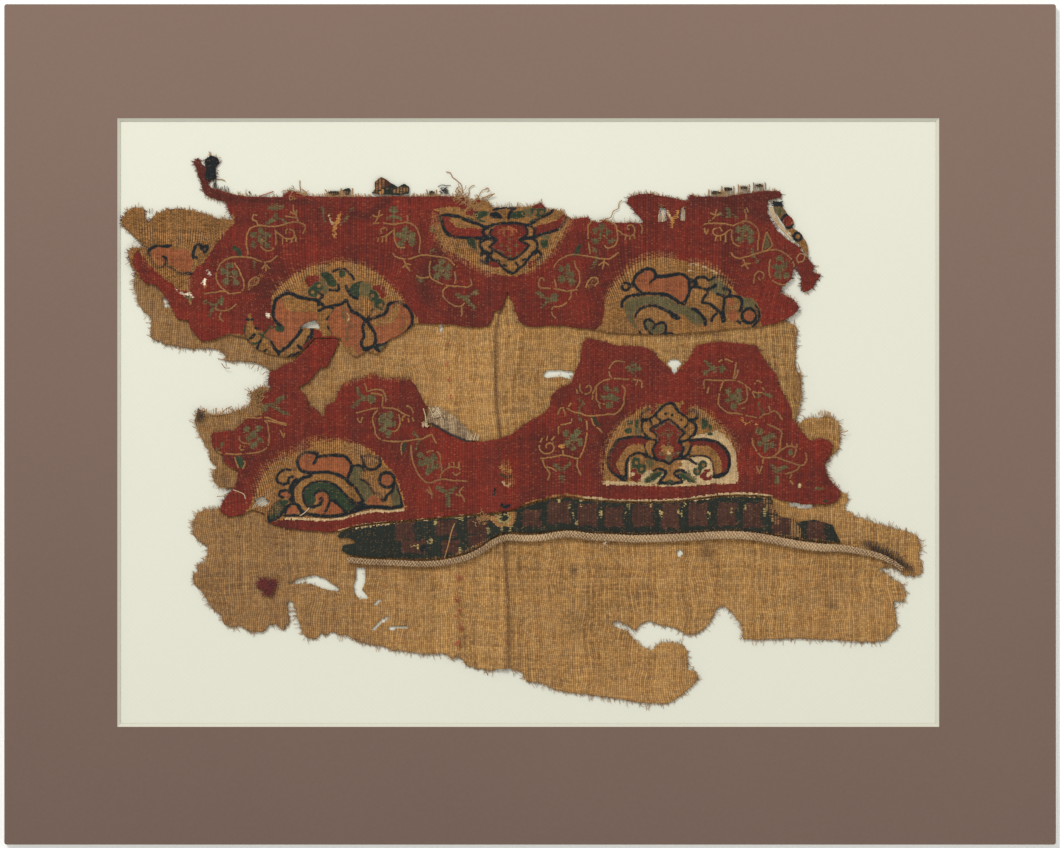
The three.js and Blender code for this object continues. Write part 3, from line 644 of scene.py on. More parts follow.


# The woven motifs, in millimetres on the board: (what, colour, points, size in millimetres).
LOWER_RIGHT_ARCH = [
    ("cut", "tan", "35,-29.2 35.2,-24 35.6,-18 36.6,-12 38.6,-7 41.6,-2.6 45,1.5 49,4.5 52.5,7 56,8.3 59,8.8 "
        "61.5,10 63.5,9.6 66,10.8 69.8,10.6 71.2,10 73,11.2 75.5,10.5 73,8.6 76.5,8.6 80,8.5 84,6.8 88,3.4 "
        "92,-0.5 95.5,-5 98,-9.5 99.4,-14 100,-19 100,-28 93,-28.4 86,-28.8 78,-29.8 66,-30 54,-29.6 "
        "44,-28.8", 0),
    ("fill", "red", "57.3,5.4 58,7.4 59.4,9.4 61,8.4 60.4,6 58.8,5", 0),
    ("fill", "red", "72.6,8.4 73.5,10 76.5,9 77,6.4 75.5,4.5 73.4,5.8", 0),
    ("fill", "cream", "79,-7 81,-5 86,-4 90,-3 93,-4.5 96.5,-8.5 99.3,-13.5 99.8,-20 99.6,-27.6 90,-28 "
        "87,-26 94,-25 96.5,-20 96.8,-15 94,-10.5 89,-7.6 84,-6.8", 0),
    ("cut", "cream", "35,-27.2 47,-27.6 55,-28 62,-29 75,-28.6 88,-27 100,-26 100,-28.3 85,-29 68,-30 "
        "50,-29.4 35,-29.2", 0),
    ("fill", "cream", "72,-17.8 76,-17 78.5,-15 83,-15 87,-16.3 88,-19 88.5,-24 88,-28 80,-29 74,-28 "
        "73,-24.4 74.6,-22 72,-20.6", 0),
    ("fill", "olive", "56,-16.8 58,-16.6 60,-18 60.4,-20 58,-21.6 56.6,-20", 0),
    ("fill", "cream", "52.6,-27 55,-23.4 57,-22 59.6,-23 57,-26 54.6,-28", 0),
    ("fill", "olive", "50,-1.6 52.4,-0.6 54,-3.6 53.4,-5.2 50.6,-4.8", 0),
    ("fill", "green", "46.2,1 47.6,2.2 49.8,1.6 49.2,0 47.4,-0.4", 0),
    ("fill", "green", "45.6,-2.4 47.6,-1.6 49.2,-2 49,-4 47,-4.5 45.5,-3.6", 0),
    ("fill", "green", "50.6,2.6 52,3.2 52.7,1 52,-1.4 50.6,-1", 0),
    ("fill", "green", "83,2.6 84.6,3 86,1 85.2,-1.8 83.2,-2.6 82.8,0", 0),
    ("fill", "green", "86.2,0 87.4,0.2 87.8,-2 86.6,-3", 0),
    ("fill", "green", "85.8,-4 88.3,-3.8 88,-5.4 86,-5", 0),
    # Left crescent.
    ("fill", "red", "46,-26.5 43,-25.3 40,-23 38,-20.5 37.2,-17 38.5,-13.5 40.5,-10 42.5,-7.8 46,-6.8 50,-6 "
        "54,-6.2 57,-7.8 56,-9.5 55.3,-10.5 56,-12.5 56.5,-15 55,-14 53,-13.5 50.5,-13.9 48.3,-15 47,-17 "
        "46.5,-20 46.3,-24", 0),
    ("fill", "tan", "41.6,-19 42.4,-21.5 43.5,-23.6 45,-24.6 46.2,-24.5 46.4,-22 46.6,-19 47,-17 48.4,-15 "
        "50.5,-14 53,-13.6 55,-14.2 56.4,-15.3 56,-13 55.3,-10.5 54.6,-9.7 52,-9.7 49,-9.9 46.5,-11.5 "
        "44.5,-14 43,-16.5", 0),
    ("line", "navy", "61.8,-7.6 59,-7.2 56.6,-6.9 54,-6.1 51.5,-5.9 48.5,-6.1 45.6,-6.7 42.8,-7.4 41,-9 "
        "39.6,-11.4 38.2,-14 37.1,-17 37.7,-20 39,-22.4 41.5,-24.6 44,-25.8", 1.25),
    ("fill", "navy", "41.4,-23.8 44,-24.6 46.6,-24.8 47,-27.2 44.6,-27.4 42.6,-26", 0),
    ("line", "navy", "46.4,-25 46.4,-21.5 46.7,-18.4 48,-15.9 50,-14.4 52.4,-13.8 54.6,-14.4 56.4,-15.8 "
        "58.6,-16.1 61.4,-17.2", 1.3),
    ("line", "navy", "55.2,-10 55.9,-12 56.7,-14 58.2,-15.7", 1.1),
    # Right crescent.
    ("fill", "red", "75,-8 80,-7.5 84,-7.2 88,-7.9 92,-9.8 95,-13 96.3,-18 95.3,-22 93,-25 89,-25.4 88.5,-22 "
        "87.6,-17.8 84,-15.2 79,-15.3 76.5,-14.6 77.7,-11.5", 0),
    ("fill", "tan", "78,-11 80,-10.3 84,-10.2 87,-11 89.5,-13 91.5,-16 92.3,-19.5 92.3,-22.5 91,-24 "
        "89.2,-23.8 88.5,-20 87.5,-17.5 85,-15.8 82,-15.2 79,-15.3 77,-16 76.8,-14.5 77.8,-12.8", 0),
    ("line", "navy", "71.6,-8 74,-8.3 77,-7.8 80,-7.5 84,-7.2 87,-7.8 89.5,-8.2 91.5,-9.5 93.5,-11.2 "
        "95,-13.2 96,-15.4 96.3,-18 95.8,-21 94.5,-23.5 92.5,-24.8", 1.35),
    ("fill", "navy", "88.4,-24.4 91.4,-23.8 94.6,-22.8 93.4,-25 90.6,-26 88.2,-25.8", 0),
    ("line", "navy", "76.5,-14.7 78.4,-15.3 81,-15 84,-15.3 86.4,-16.2 87.8,-17.8", 0.8),
    ("line", "navy", "77.6,-16.4 79,-18.3 80.8,-19 82,-19.4", 0.9),
    ("line", "navy", "88,-19 88.6,-21.6 88.8,-24", 0.7),
    # Middle frame.
    ("fill", "tan", "64.5,8.5 66,10 69,10 70.5,7.5 73.5,4.8 76.2,2.8 78.6,1 80,-2 79.4,-4.5 77.5,-6 "
        "76.4,-7.8 77.7,-10.4 76.9,-12.6 75.6,-14.8 72,-15.6 67,-16 61,-15.8 58.4,-15.6 56.8,-13.8 "
        "55.6,-10.2 58,-8 56.4,-5.8 54.4,-3.6 54,-1 54.2,1.4 58.5,3.2 61.8,6", 0),
    ("fill", "red", "67,2.6 64.5,1.5 61.5,-0.3 58.8,-1.5 58.4,-2.8 60,-4.2 61.6,-6 62,-7.7 60.5,-9.5 "
        "59.5,-11.5 59.3,-13 60.2,-15 61.4,-17 64,-17.6 67,-18.8 69,-17.3 71.5,-16.2 73,-14 74.2,-12 73,-10 "
        "72.2,-8 72.6,-5.8 74.8,-4 73,-2.8 71,-0.8 69,1.2", 0),
    ("line", "navy", "54,1.5 56,2.2 58.5,3.2 60.5,4.8 62.5,7 64.5,8.8 66.5,10.1 69,10 70,8.5 71.5,6.5 "
        "73.5,4.8 76,3 76.8,1.8 78.6,1 79.9,-0.5 80,-2.5 79.3,-4.5 77.5,-6 75.5,-7.8 72,-8.6", 1.15),
    ("line", "navy", "54.3,1.4 54,-1 54.6,-3.8 56.5,-5.8 58.5,-7.2 61.8,-7.8", 1.0),
    ("line", "navy", "67,2.6 64.5,1.5 61.5,-0.3 58.8,-1.5 58.3,-2.8 60,-4.2 61.6,-6 62,-7.7 60.5,-9.5 "
        "59.5,-11.5 59.3,-13 60.2,-15 61.2,-16.8 64,-17.5 66.2,-18.6 67,-19.2 68,-18.6 69.6,-17 71.7,-16.2 "
        "73,-14 74.2,-12 73,-10 72.2,-8 72.6,-5.8 74.8,-4 73,-2.8 71,-0.8 69,1.2 67,2.6", 1.1),
    ("line", "navy", "77.8,-10.4 77,-12.4 75.8,-14.8 73,-16", 1.2),
    ("line", "navy", "71.4,-16.6 74,-16.3 76.4,-16.9 78.4,-18", 1.3),
    ("line", "navy", "61,4.3 61.8,2.6 63,2", 0.9),
    ("line", "navy", "57.4,2.6 58.6,1 58.8,-0.4", 0.9),
    ("line", "navy", "76.4,1.6 76,-0.4 74.6,-1.6", 0.9),
    ("disc", "navy", "72.8,2.2 68.6,4.6 65.6,5.0", 0.55),
    ("line", "olive", "61.4,-8.4 62,-6 60.2,-2.8 62.4,-0.8 65,0.7 67,1.6 69.4,-0.2 72,-2.6 73.4,-4.1 71.8,-6 "
        "71.2,-8.4", 0.8),
    ("line", "olive", "63.4,-4.9 65.2,-4.2 66.8,-5.1 69.4,-4.1 71,-5.1", 0.75),
    ("disc", "olive", "66.6,-2.6", 0.95),
    ("line", "olive", "66.7,-5 66.6,-10.8", 0.75),
    ("fill", "tan", "63.6,-10.6 65.4,-10.2 66.6,-11 68,-10.2 69.4,-11.4 69.2,-13 68,-15 67,-16.8 65.4,-15 63.8,-13", 0),
    ("disc", "cream", "67,-14", 0.9),
    ("fill", "olive", "65.6,-15 68,-15 68.4,-17 67,-18.4 65.4,-17", 0),
    ("line", "olive", "61.6,-13.8 63.6,-14.8", 0.7),
    ("line", "olive", "69.6,-14.7 72,-13.6", 0.7),
    # Bell and leaves at the foot.
    ("fill", "tan", "60.5,-18.6 64,-18 66,-19.4 68,-19.4 70,-18 73,-18.2 73.2,-19.6 71,-21.3 69.6,-23.5 "
        "71.5,-25.5 72.5,-27.8 67,-28.5 63,-28 64.5,-25.5 65.5,-23.5 63.5,-21.8 61,-21", 0),
    ("fill", "cream", "61,-23 64.4,-22.8 64.6,-24.6 62.6,-27.6 58,-28.8 54,-28.4 57,-25", 0),
    ("fill", "olive", "54.6,-27.2 57,-24.6 60,-22.6 63.4,-22.4 64,-24 61,-27 57,-28.6", 0),
    ("fill", "green", "56,-26.2 58.4,-25 60.4,-23.6 63.4,-23.2 62.4,-25 60,-26.6 57,-28 55.4,-27.4", 0),
    ("fill", "olive", "71.4,-23.6 75,-22.6 77,-21.6 78,-24 80.4,-27.4 77.6,-28.4 74.4,-27", 0),
    ("fill", "green", "71.6,-24.2 73.8,-23.8 75.4,-25 78,-26.6 79.2,-27.8 76.6,-28 74,-26.2", 0),
    ("line", "navy", "59.4,-22.4 61,-21.6 63,-21.6 65,-22.6 65.6,-23.6 64.4,-25.2 63,-27 62,-28.4 64.6,-28.2 "
        "67.5,-29 70.4,-28.2 73,-28 72.8,-26.6 71,-25 69.6,-23.7 71,-22.6 73,-22.2 75.4,-23.2", 1.15),
    ("fill", "green", "65.4,-27.6 67.5,-26.8 69.6,-27.6 67.6,-29", 0),
    ("fill", "red", "48.2,-21.4 50.4,-21.6 52,-23.8 53.4,-24.6 53.2,-26.8 50.4,-27.6 48.6,-26 49.6,-24 "
        "47.8,-23", 0),
    ("fill", "red", "83.4,-23.2 85.2,-21.6 87.2,-21.8 86.2,-23.6 88,-25.6 86,-27.2 83.2,-26.6 81.6,-25.4", 0),
    ("fill", "green", "49.4,-16.8 51,-16 53,-16.6 53.4,-18.8 55.6,-19.2 56,-21.6 55,-23.4 52.8,-23.4 51.4,-21.4 49.6,-20.6", 0),
    ("fill", "green", "81.4,-18.4 83,-17.4 85,-18 85.4,-20.4 84,-21.4 82.6,-22 82.4,-24 80.4,-24.8 78.8,-23.2 79,-21.4 81,-20.6", 0),
    ("disc", "tan", "51.4,-18.4 53.9,-21.6 83.5,-19.5 80.8,-22.7", 0.75),
    ("line", "green", "49.4,-20.6 49.6,-18 51,-16.6", 0.9),
    ("line", "cream", "48.4,-16 47.8,-19 48.2,-22 47.8,-25", 0.8),
    ("disc", "cream", "49.6,-23.9 86,-24.4", 0.9),
    ("line", "navy", "57.6,7.2 55.6,6.6 54,5.2 53.4,3.6 54.6,2.4 56.5,2.1", 1.5),
    ("line", "navy", "77,6.6 78.8,6.8 80.4,5.6 80.8,4 80,2.6 78.4,2 77,2.2", 1.5),
    ("worn", "", "36,-22 37,-12 42,-3 50,4 58,8", 3.0),
    ("worn", "", "78,7 85,5 91,-1 96,-6 99,-12", 3.0),
]

LOWER_LEFT_ARCH = [
    ("cut", "tan", "-128.5,-48.3 -138,-46 -152,-46 -152,-40 -146,-44.8 -139,-44 -136,-41 -134.6,-37.6 "
        "-131.4,-31 -129.6,-26 -127.4,-22 -124,-18.6 -119,-16.6 -114,-14.2 -110,-12.6 -104,-10.6 -106,-9 "
        "-107.6,-8 -104,-8.8 -101.6,-7.4 -98,-8.5 -93,-7.6 -88,-8.4 -83,-9.5 -79,-11.5 -75,-14 -71.5,-17 "
        "-69,-20 -66.5,-23 -65,-26 -63.5,-31 -61.5,-37 -60,-41.2 -67,-42.6 -74,-42.2 -80,-43.2 -86,-44.2 "
        "-90,-45.2 -96,-46.3 -103,-46.6 -110,-45.8 -118,-45.7 -122,-46.5", 0),
    ("line", "cream", "-61,-41.2 -68,-42 -75,-41.8 -82,-43 -90,-45 -98,-46.1 -106,-45.8 -118,-45.4", 1.0),
    ("line", "gold", "-60.6,-40 -62.6,-33 -65.4,-25 -71,-18.6 -76,-14", 0.9),
    ("fill", "olive", "-87,-20.6 -84,-20 -81,-21 -79.6,-24 -81,-26.6 -78,-29 -75.6,-32.4 -78,-36 -80.4,-37.4 "
        "-82,-33 -85,-30 -87.6,-27 -86.6,-24", 0),
    ("fill", "olive", "-69,-37 -66,-31 -64,-30 -62.6,-36 -61.6,-40 -67,-39.6", 0),
    ("fill", "tan", "-71.4,-37.6 -70,-35 -67.4,-35 -67,-39 -72,-39.4", 0),
    ("fill", "tan", "-79.6,-15.4 -76,-15.6 -73,-17.4 -73.6,-21 -77,-21.6 -79.6,-18.6", 0),
    # Upper pink form.
    ("fill", "pink", "-112.6,-18 -111.4,-15.6 -108,-14 -104.6,-13.8 -103.6,-16 -100,-15.4 -95,-15.2 "
        "-90.4,-15.4 -87.6,-17.6 -86.6,-20.6 -87.4,-24.8 -88.6,-25.8 -92,-24 -96,-23 -102,-22.8 -107,-22.8 "
        "-111,-21.4", 0),
    ("line", "navy", "-112.6,-18 -111.6,-15.6 -109,-13.6 -106,-13.5 -103.6,-14 -102.2,-15.6 -99,-15.2 "
        "-96,-14.9 -92,-15 -89.4,-15.6 -87.4,-17.4 -86.3,-20 -86.9,-23 -88,-26", 1.45),
    ("line", "navy", "-102.6,-13.8 -103,-16 -104.4,-19", 1.2),
    ("line", "navy", "-112.4,-19 -111.2,-21.6 -108.6,-23 -105,-23.4 -100,-23 -96,-23.4 -92.6,-24.6 -89.6,-26 "
        "-87,-28.6 -85,-30 -83,-33 -80.6,-37", 1.4),
    # Crescents and spiral.
    ("fill", "tan", "-113.6,-33 -112.6,-29 -109.6,-26 -105.6,-24.3 -100,-23.9 -95,-24.4 -91,-26.4 -87.6,-29 "
        "-84.6,-32 -82,-35.6 -81.4,-37.6 -84,-38 -88,-36 -92,-31.4 -96,-29 -101,-27.9 -105.4,-28.9 "
        "-108.6,-31.6 -109.6,-35 -108.6,-38.6 -106,-40 -103.6,-40.6 -103,-43 -107,-43 -110.6,-41.4 "
        "-112.8,-38", 0),
    ("fill", "green", "-109.2,-34 -108.4,-31 -105,-28.6 -100,-28 -96,-28.6 -92.6,-30.6 -89,-34 -86,-37 "
        "-83,-39.4 -84.4,-41.8 -88.4,-42.8 -91.6,-40 -95.6,-37.6 -97.4,-34.6 -100,-32.6 -103.6,-34 "
        "-103.6,-37 -106,-39.6 -108.6,-37.6", 0),
    ("fill", "pink", "-103.8,-34.4 -101.6,-32.8 -98.6,-33.4 -97.2,-36 -98,-39 -96.4,-38 -94.4,-37.8 "
        "-91.6,-40.6 -90,-42 -94,-43.4 -100,-43.6 -104,-42.2 -100.6,-40.4 -99.8,-38 -102,-37.2 -103.4,-36",
        0),
    ("line", "navy", "-84,-37.8 -88,-35 -91,-32 -94.6,-29 -98,-27.8 -102,-27.6 -106,-28.6 -109,-31.2 "
        "-109.6,-34 -108.6,-37.6 -106,-39.4 -103.4,-39.4 -101,-38.6 -100.4,-37", 1.0),
    ("line", "navy", "-109,-37.6 -107,-39.8 -104,-40", 1.2),
    ("line", "navy", "-101.6,-36 -100.6,-35.2 -100.4,-36.8 -101.8,-38.4", 0.9),
    ("line", "navy", "-98.8,-42 -97.6,-39.6 -96.6,-37", 1.2),
    ("line", "navy", "-104.4,-34 -102.6,-32.2 -99.6,-31.9 -97.6,-33.6 -96.4,-36.4 -94,-37", 1.0),
    ("line", "navy", "-80.6,-37.4 -84.6,-38.4 -86.6,-38", 1.3),
    ("line", "navy", "-94.6,-37.4 -92,-39.4 -89.6,-42", 1.1),
    ("line", "navy", "-112,-39.6 -109.6,-42.6 -104.6,-43.8 -98,-44.4 -92,-44 -86,-42.4 -80,-40.2 -74,-39.8 "
        "-68,-40.4 -62.6,-39.6", 1.7),
    ("fill", "navy", "-92,-43.6 -86,-41 -82.6,-38.4 -79,-38.6 -77,-40.4 -83,-42 -88,-43.4", 0),
    # Outer navy of the crescent, down the left side.
    ("line", "navy", "-106,-24.8 -110,-26 -112.6,-28.4 -114.6,-31 -114.8,-35 -113.8,-38", 1.5),
    ("line", "navy", "-116,-31.6 -115,-29 -113,-26.6", 1.5),
    ("line", "navy", "-115.6,-31 -116.6,-33.6 -116,-36.4 -114.6,-37.6", 1.3),
    # Small forms at the left.
    ("fill", "tan", "-122,-26 -120.6,-23.6 -118,-22.4 -116,-24.6 -117,-28 -120,-28.4", 0),
    ("line", "navy", "-116.2,-22 -118,-21.7 -120.4,-22.8 -122.4,-25.4 -121.8,-27.8 -119.4,-28.8 -117.2,-28.4 "
        "-116.4,-26 -115,-25.2", 1.35),
    ("fill", "pink", "-120.6,-33.4 -118.6,-32.2 -116.6,-33 -116,-35.6 -118.6,-35.2", 0),
    ("line", "navy", "-115.8,-32.4 -118,-31.9 -120.6,-32.4 -121,-34.2 -119.4,-35.4", 1.3),
    ("fill", "green", "-126.4,-46.6 -126.8,-44 -125,-39.8 -122.4,-37.4 -119,-36.4 -116,-37 -117.6,-38.6 "
        "-119.4,-42 -121,-44.6 -123.6,-46.4", 0),
    ("line", "navy", "-117.8,-39.6 -119.2,-42 -121,-44.6 -126,-47", 1.3),
    ("line", "navy", "-126.4,-46.4 -126,-42 -124,-38.6 -120.6,-36.6", 0.7),
    ("fill", "pink", "-118,-41.6 -116.4,-39.8 -113.6,-39.6 -112,-42 -114,-43.4 -117,-43.2", 0),
    ("line", "navy", "-118.2,-42.6 -117.4,-40 -115,-38.4 -112.4,-38.8 -111,-41 -110,-43", 1.3),
    ("line", "navy", "-119,-44.2 -115,-43.9 -111,-44 -108,-43.4", 1.2),
    # Forms at the right.
    ("line", "navy", "-79.8,-15.4 -78,-14.9 -75.4,-15.6 -73,-16.6 -72.4,-19 -74.6,-21.4 -77.6,-21.8 "
        "-79.6,-20.4 -80.6,-17.4 -81.6,-15.2", 1.3),
    ("line", "navy", "-86,-20 -83,-19.8 -81,-20.6 -79.8,-23", 1.0),
    ("line", "navy", "-81.6,-26.4 -79.4,-27.6 -77,-30 -75.4,-33 -72.6,-33.8 -71.4,-36.4 -70.4,-37", 1.2),
    ("disc", "pink", "-69.3,-26.8", 2.7),
    ("line", "navy", "-69.4,-23.2 -66.6,-24.2 -65.6,-27 -66.8,-29.6 -69.6,-30.4 -72.2,-28.8 -72.6,-26 "
        "-71.4,-23.8 -69.4,-23.2", 1.35),
    ("line", "navy", "-65.8,-29 -66.8,-32.6 -69,-34 -70,-36.4", 1.2),
    ("line", "navy", "-65,-28 -63.6,-32 -62.2,-37 -61.8,-39.6", 0.9),
    ("fill", "pink", "-78.6,-37 -77,-35 -74.6,-34.4 -72.4,-36 -71.8,-38.6 -75,-39 -78,-38.6", 0),
    ("worn", "", "-131,-34 -128,-24 -122,-18 -112,-13 -104,-9 -92,-10 -84,-12 -76,-17", 4.0),
    ("worn", "", "-80,-24 -76,-28 -73,-34", 3.0),
    ("worn", "", "-124,-40 -128,-33", 5.0),
]



# Leaves of the lower vines, woven in; the stems are threads of their own.
LOWER_LEAVES = [
    ("disc", "olive", "-136.6,-2.4 -130.7,-2 -136,-6.8 -130.2,-7.6 -134,-10.2", 1.7),
    ("disc", "olive", "-133.6,-5.2", 2.1),
    ("line", "olive", "-129,8.8 -126.6,8.8 -124,9.6 -121.2,12 -119,13.4", 2.2),
    ("line", "olive", "-124.6,9 -121.6,7.4 -119.4,6 -117.2,5", 1.9),
    ("disc", "olive", "-128,8.2", 2.2),
    ("line", "olive", "-151,-12.4 -150,-10.6 -148.4,-9.4", 1.5),
    ("fill", "green", "-142,-16 -139.8,-15.7 -138.4,-18.5 -139.8,-21.2 -141.3,-19.5", 0),
    # Right of the left arch.
    ("disc", "olive", "-71.5,3.7 -72.2,1.3 -67.2,4.2 -66.2,0.2 -71.4,-2.3 -68.5,-4.2", 1.7),
    ("disc", "olive", "-69.2,0.9", 2.0),
    ("line", "olive", "-83.5,17 -82.4,15 -81,13", 2.0),
    ("line", "olive", "-85.5,8.5 -83.6,10.4 -81.4,12 -79,12.6", 2.0),
    ("disc", "olive", "-76.5,12.5", 2.1),
    ("line", "olive", "-56.5,-3.5 -54.5,-6 -53.5,-8 -54.5,-11.5", 1.2),
    ("fill", "green", "-61.4,-9.4 -59.8,-9.6 -60.8,-12.6 -62.2,-14", 0),
    ("disc", "olive", "-53,-15 -46.5,-16 -53,-19 -46,-20.5 -49,-22.5", 1.8),
    ("disc", "olive", "-49.5,-17.8", 2.1),
    ("line", "olive", "-44.5,-30.5 -42,-31.8 -39.7,-33.3", 1.9),
    ("line", "olive", "-36.5,-30.5 -38,-32 -39.7,-33.6", 1.9),
    ("line", "olive", "-39.7,-33 -39.6,-38.6", 2.6),
    # Left of the right arch.
    ("disc", "olive", "37,17.2 41.8,16.8 35.7,13 41.5,12.2 38,9.3", 1.7),
    ("disc", "olive", "39,13.5", 2.0),
    ("line", "green", "30.5,3.5 31.8,1.4 33,-0.5", 1.6),
    ("line", "olive", "24,12 25.5,10 23.5,7.5 23.5,4 25,2", 1.2),
    ("disc", "olive", "17.5,-4.5 23,-3.5 24,-8.6 18,-9 21,-11.3", 1.7),
    ("disc", "olive", "21,-6.5", 2.1),
    ("line", "olive", "12,-19.5 13.8,-20.8 15.7,-22.3", 1.9),
    ("line", "olive", "18.8,-19.5 17.2,-21 15.7,-22.6", 1.9),
    ("disc", "olive", "15.5,-25.3 15.5,-26.8", 1.3),
    ("disc", "gold", "15.5,-10.5", 1.1),
    ("disc", "olive", "47.4,27.2 49.8,29 52,27 49.8,26", 1.5),
    ("line", "olive", "49.8,26 49.8,21", 1.1),
    # Right of the right arch.
    ("line", "olive", "83.5,24.5 85.6,25.4 88,26.5", 1.9),
    ("line", "olive", "84.4,30.4 86.4,28.4 88.6,26.6", 1.9),
    ("disc", "olive", "92.6,26.8", 2.2),
    ("line", "olive", "88,26.6 92,26.8", 1.5),
    ("disc", "olive", "95.3,16.2 100.8,15.9 95.2,11.7 100.8,12.4 98.3,8.7", 1.7),
    ("disc", "olive", "98,13.4", 2.0),
    ("line", "olive", "109,13 111,14 114,14.5 117,13", 1.1),
    ("line", "olive", "110,10 111.4,8.2 112.5,6", 1.3),
    ("line", "gold", "102.4,2.4 104.4,0.6 107.6,1.4 109,0", 0.8),
    ("disc", "olive", "111,-3.4 117,-5.5 111,-9 117,-9.8 114,-11.3", 1.7),
    ("disc", "olive", "114,-7", 2.1),
    ("disc", "olive", "125.7,-13.5", 1.1),
    ("line", "olive", "116.2,-19.5 117.6,-20.8 119,-22.5", 1.9),
    ("line", "olive", "123.5,-20.5 121.4,-21.4 119,-22.9", 1.9),
    ("disc", "olive", "119,-26 119,-27.6", 1.4),
    ("line", "olive", "137,-31.6 139,-30.8 141.6,-31.4", 1.4),
    ("disc", "cream", "130,-29.7", 1.0),
    ("disc", "green", "142.8,-37", 0.9),
    # The cream line at the foot of the band, above the checks.
    ("line", "cream", "-95,-52.4 -86,-49.6 -75,-47.9 -62,-46.9 -50,-45.9 -40,-44.9 -30,-43.9 -22,-43.5", 0.8),
    ("line", "cream", "24,-34.9 32,-35.8 42,-36.7 58,-36.9 72,-36.4 86,-34.6 97,-33.5 108,-33.8 "
        "116.4,-34.7", 1.1),
    ("line", "tan", "-4,-39.2 3,-36.8 10,-35 18,-34 26,-35", 0.9),
    ("pale", "", "72,-36.9 76,-36.6 79,-36.2", 0.5),
    ("worn", "", "-60,22 -68,22.6 -77,24 -88,20", 1.8),
    ("worn", "", "-12,-20 -11,-24 -10,-28", 3.2),
    ("line", "gold", "-14,-20.6 -12,-22.4 -9.4,-22.6", 1.2),
    ("line", "navy", "-13.6,-24.2 -11.4,-25.6 -9.2,-24.8", 1.2),
    ("line", "cream", "-13,-28 -11.4,-29.6 -9.6,-29", 1.1),
    ("line", "navy", "-16.8,-31 -17.4,-34", 1.1),
    ("line", "navy", "-13.6,-38.8 -12,-39.8 -10.4,-39.2", 1.5),
]
LOWER_PATTERN = LOWER_LEAVES + LOWER_LEFT_ARCH + LOWER_RIGHT_ARCH

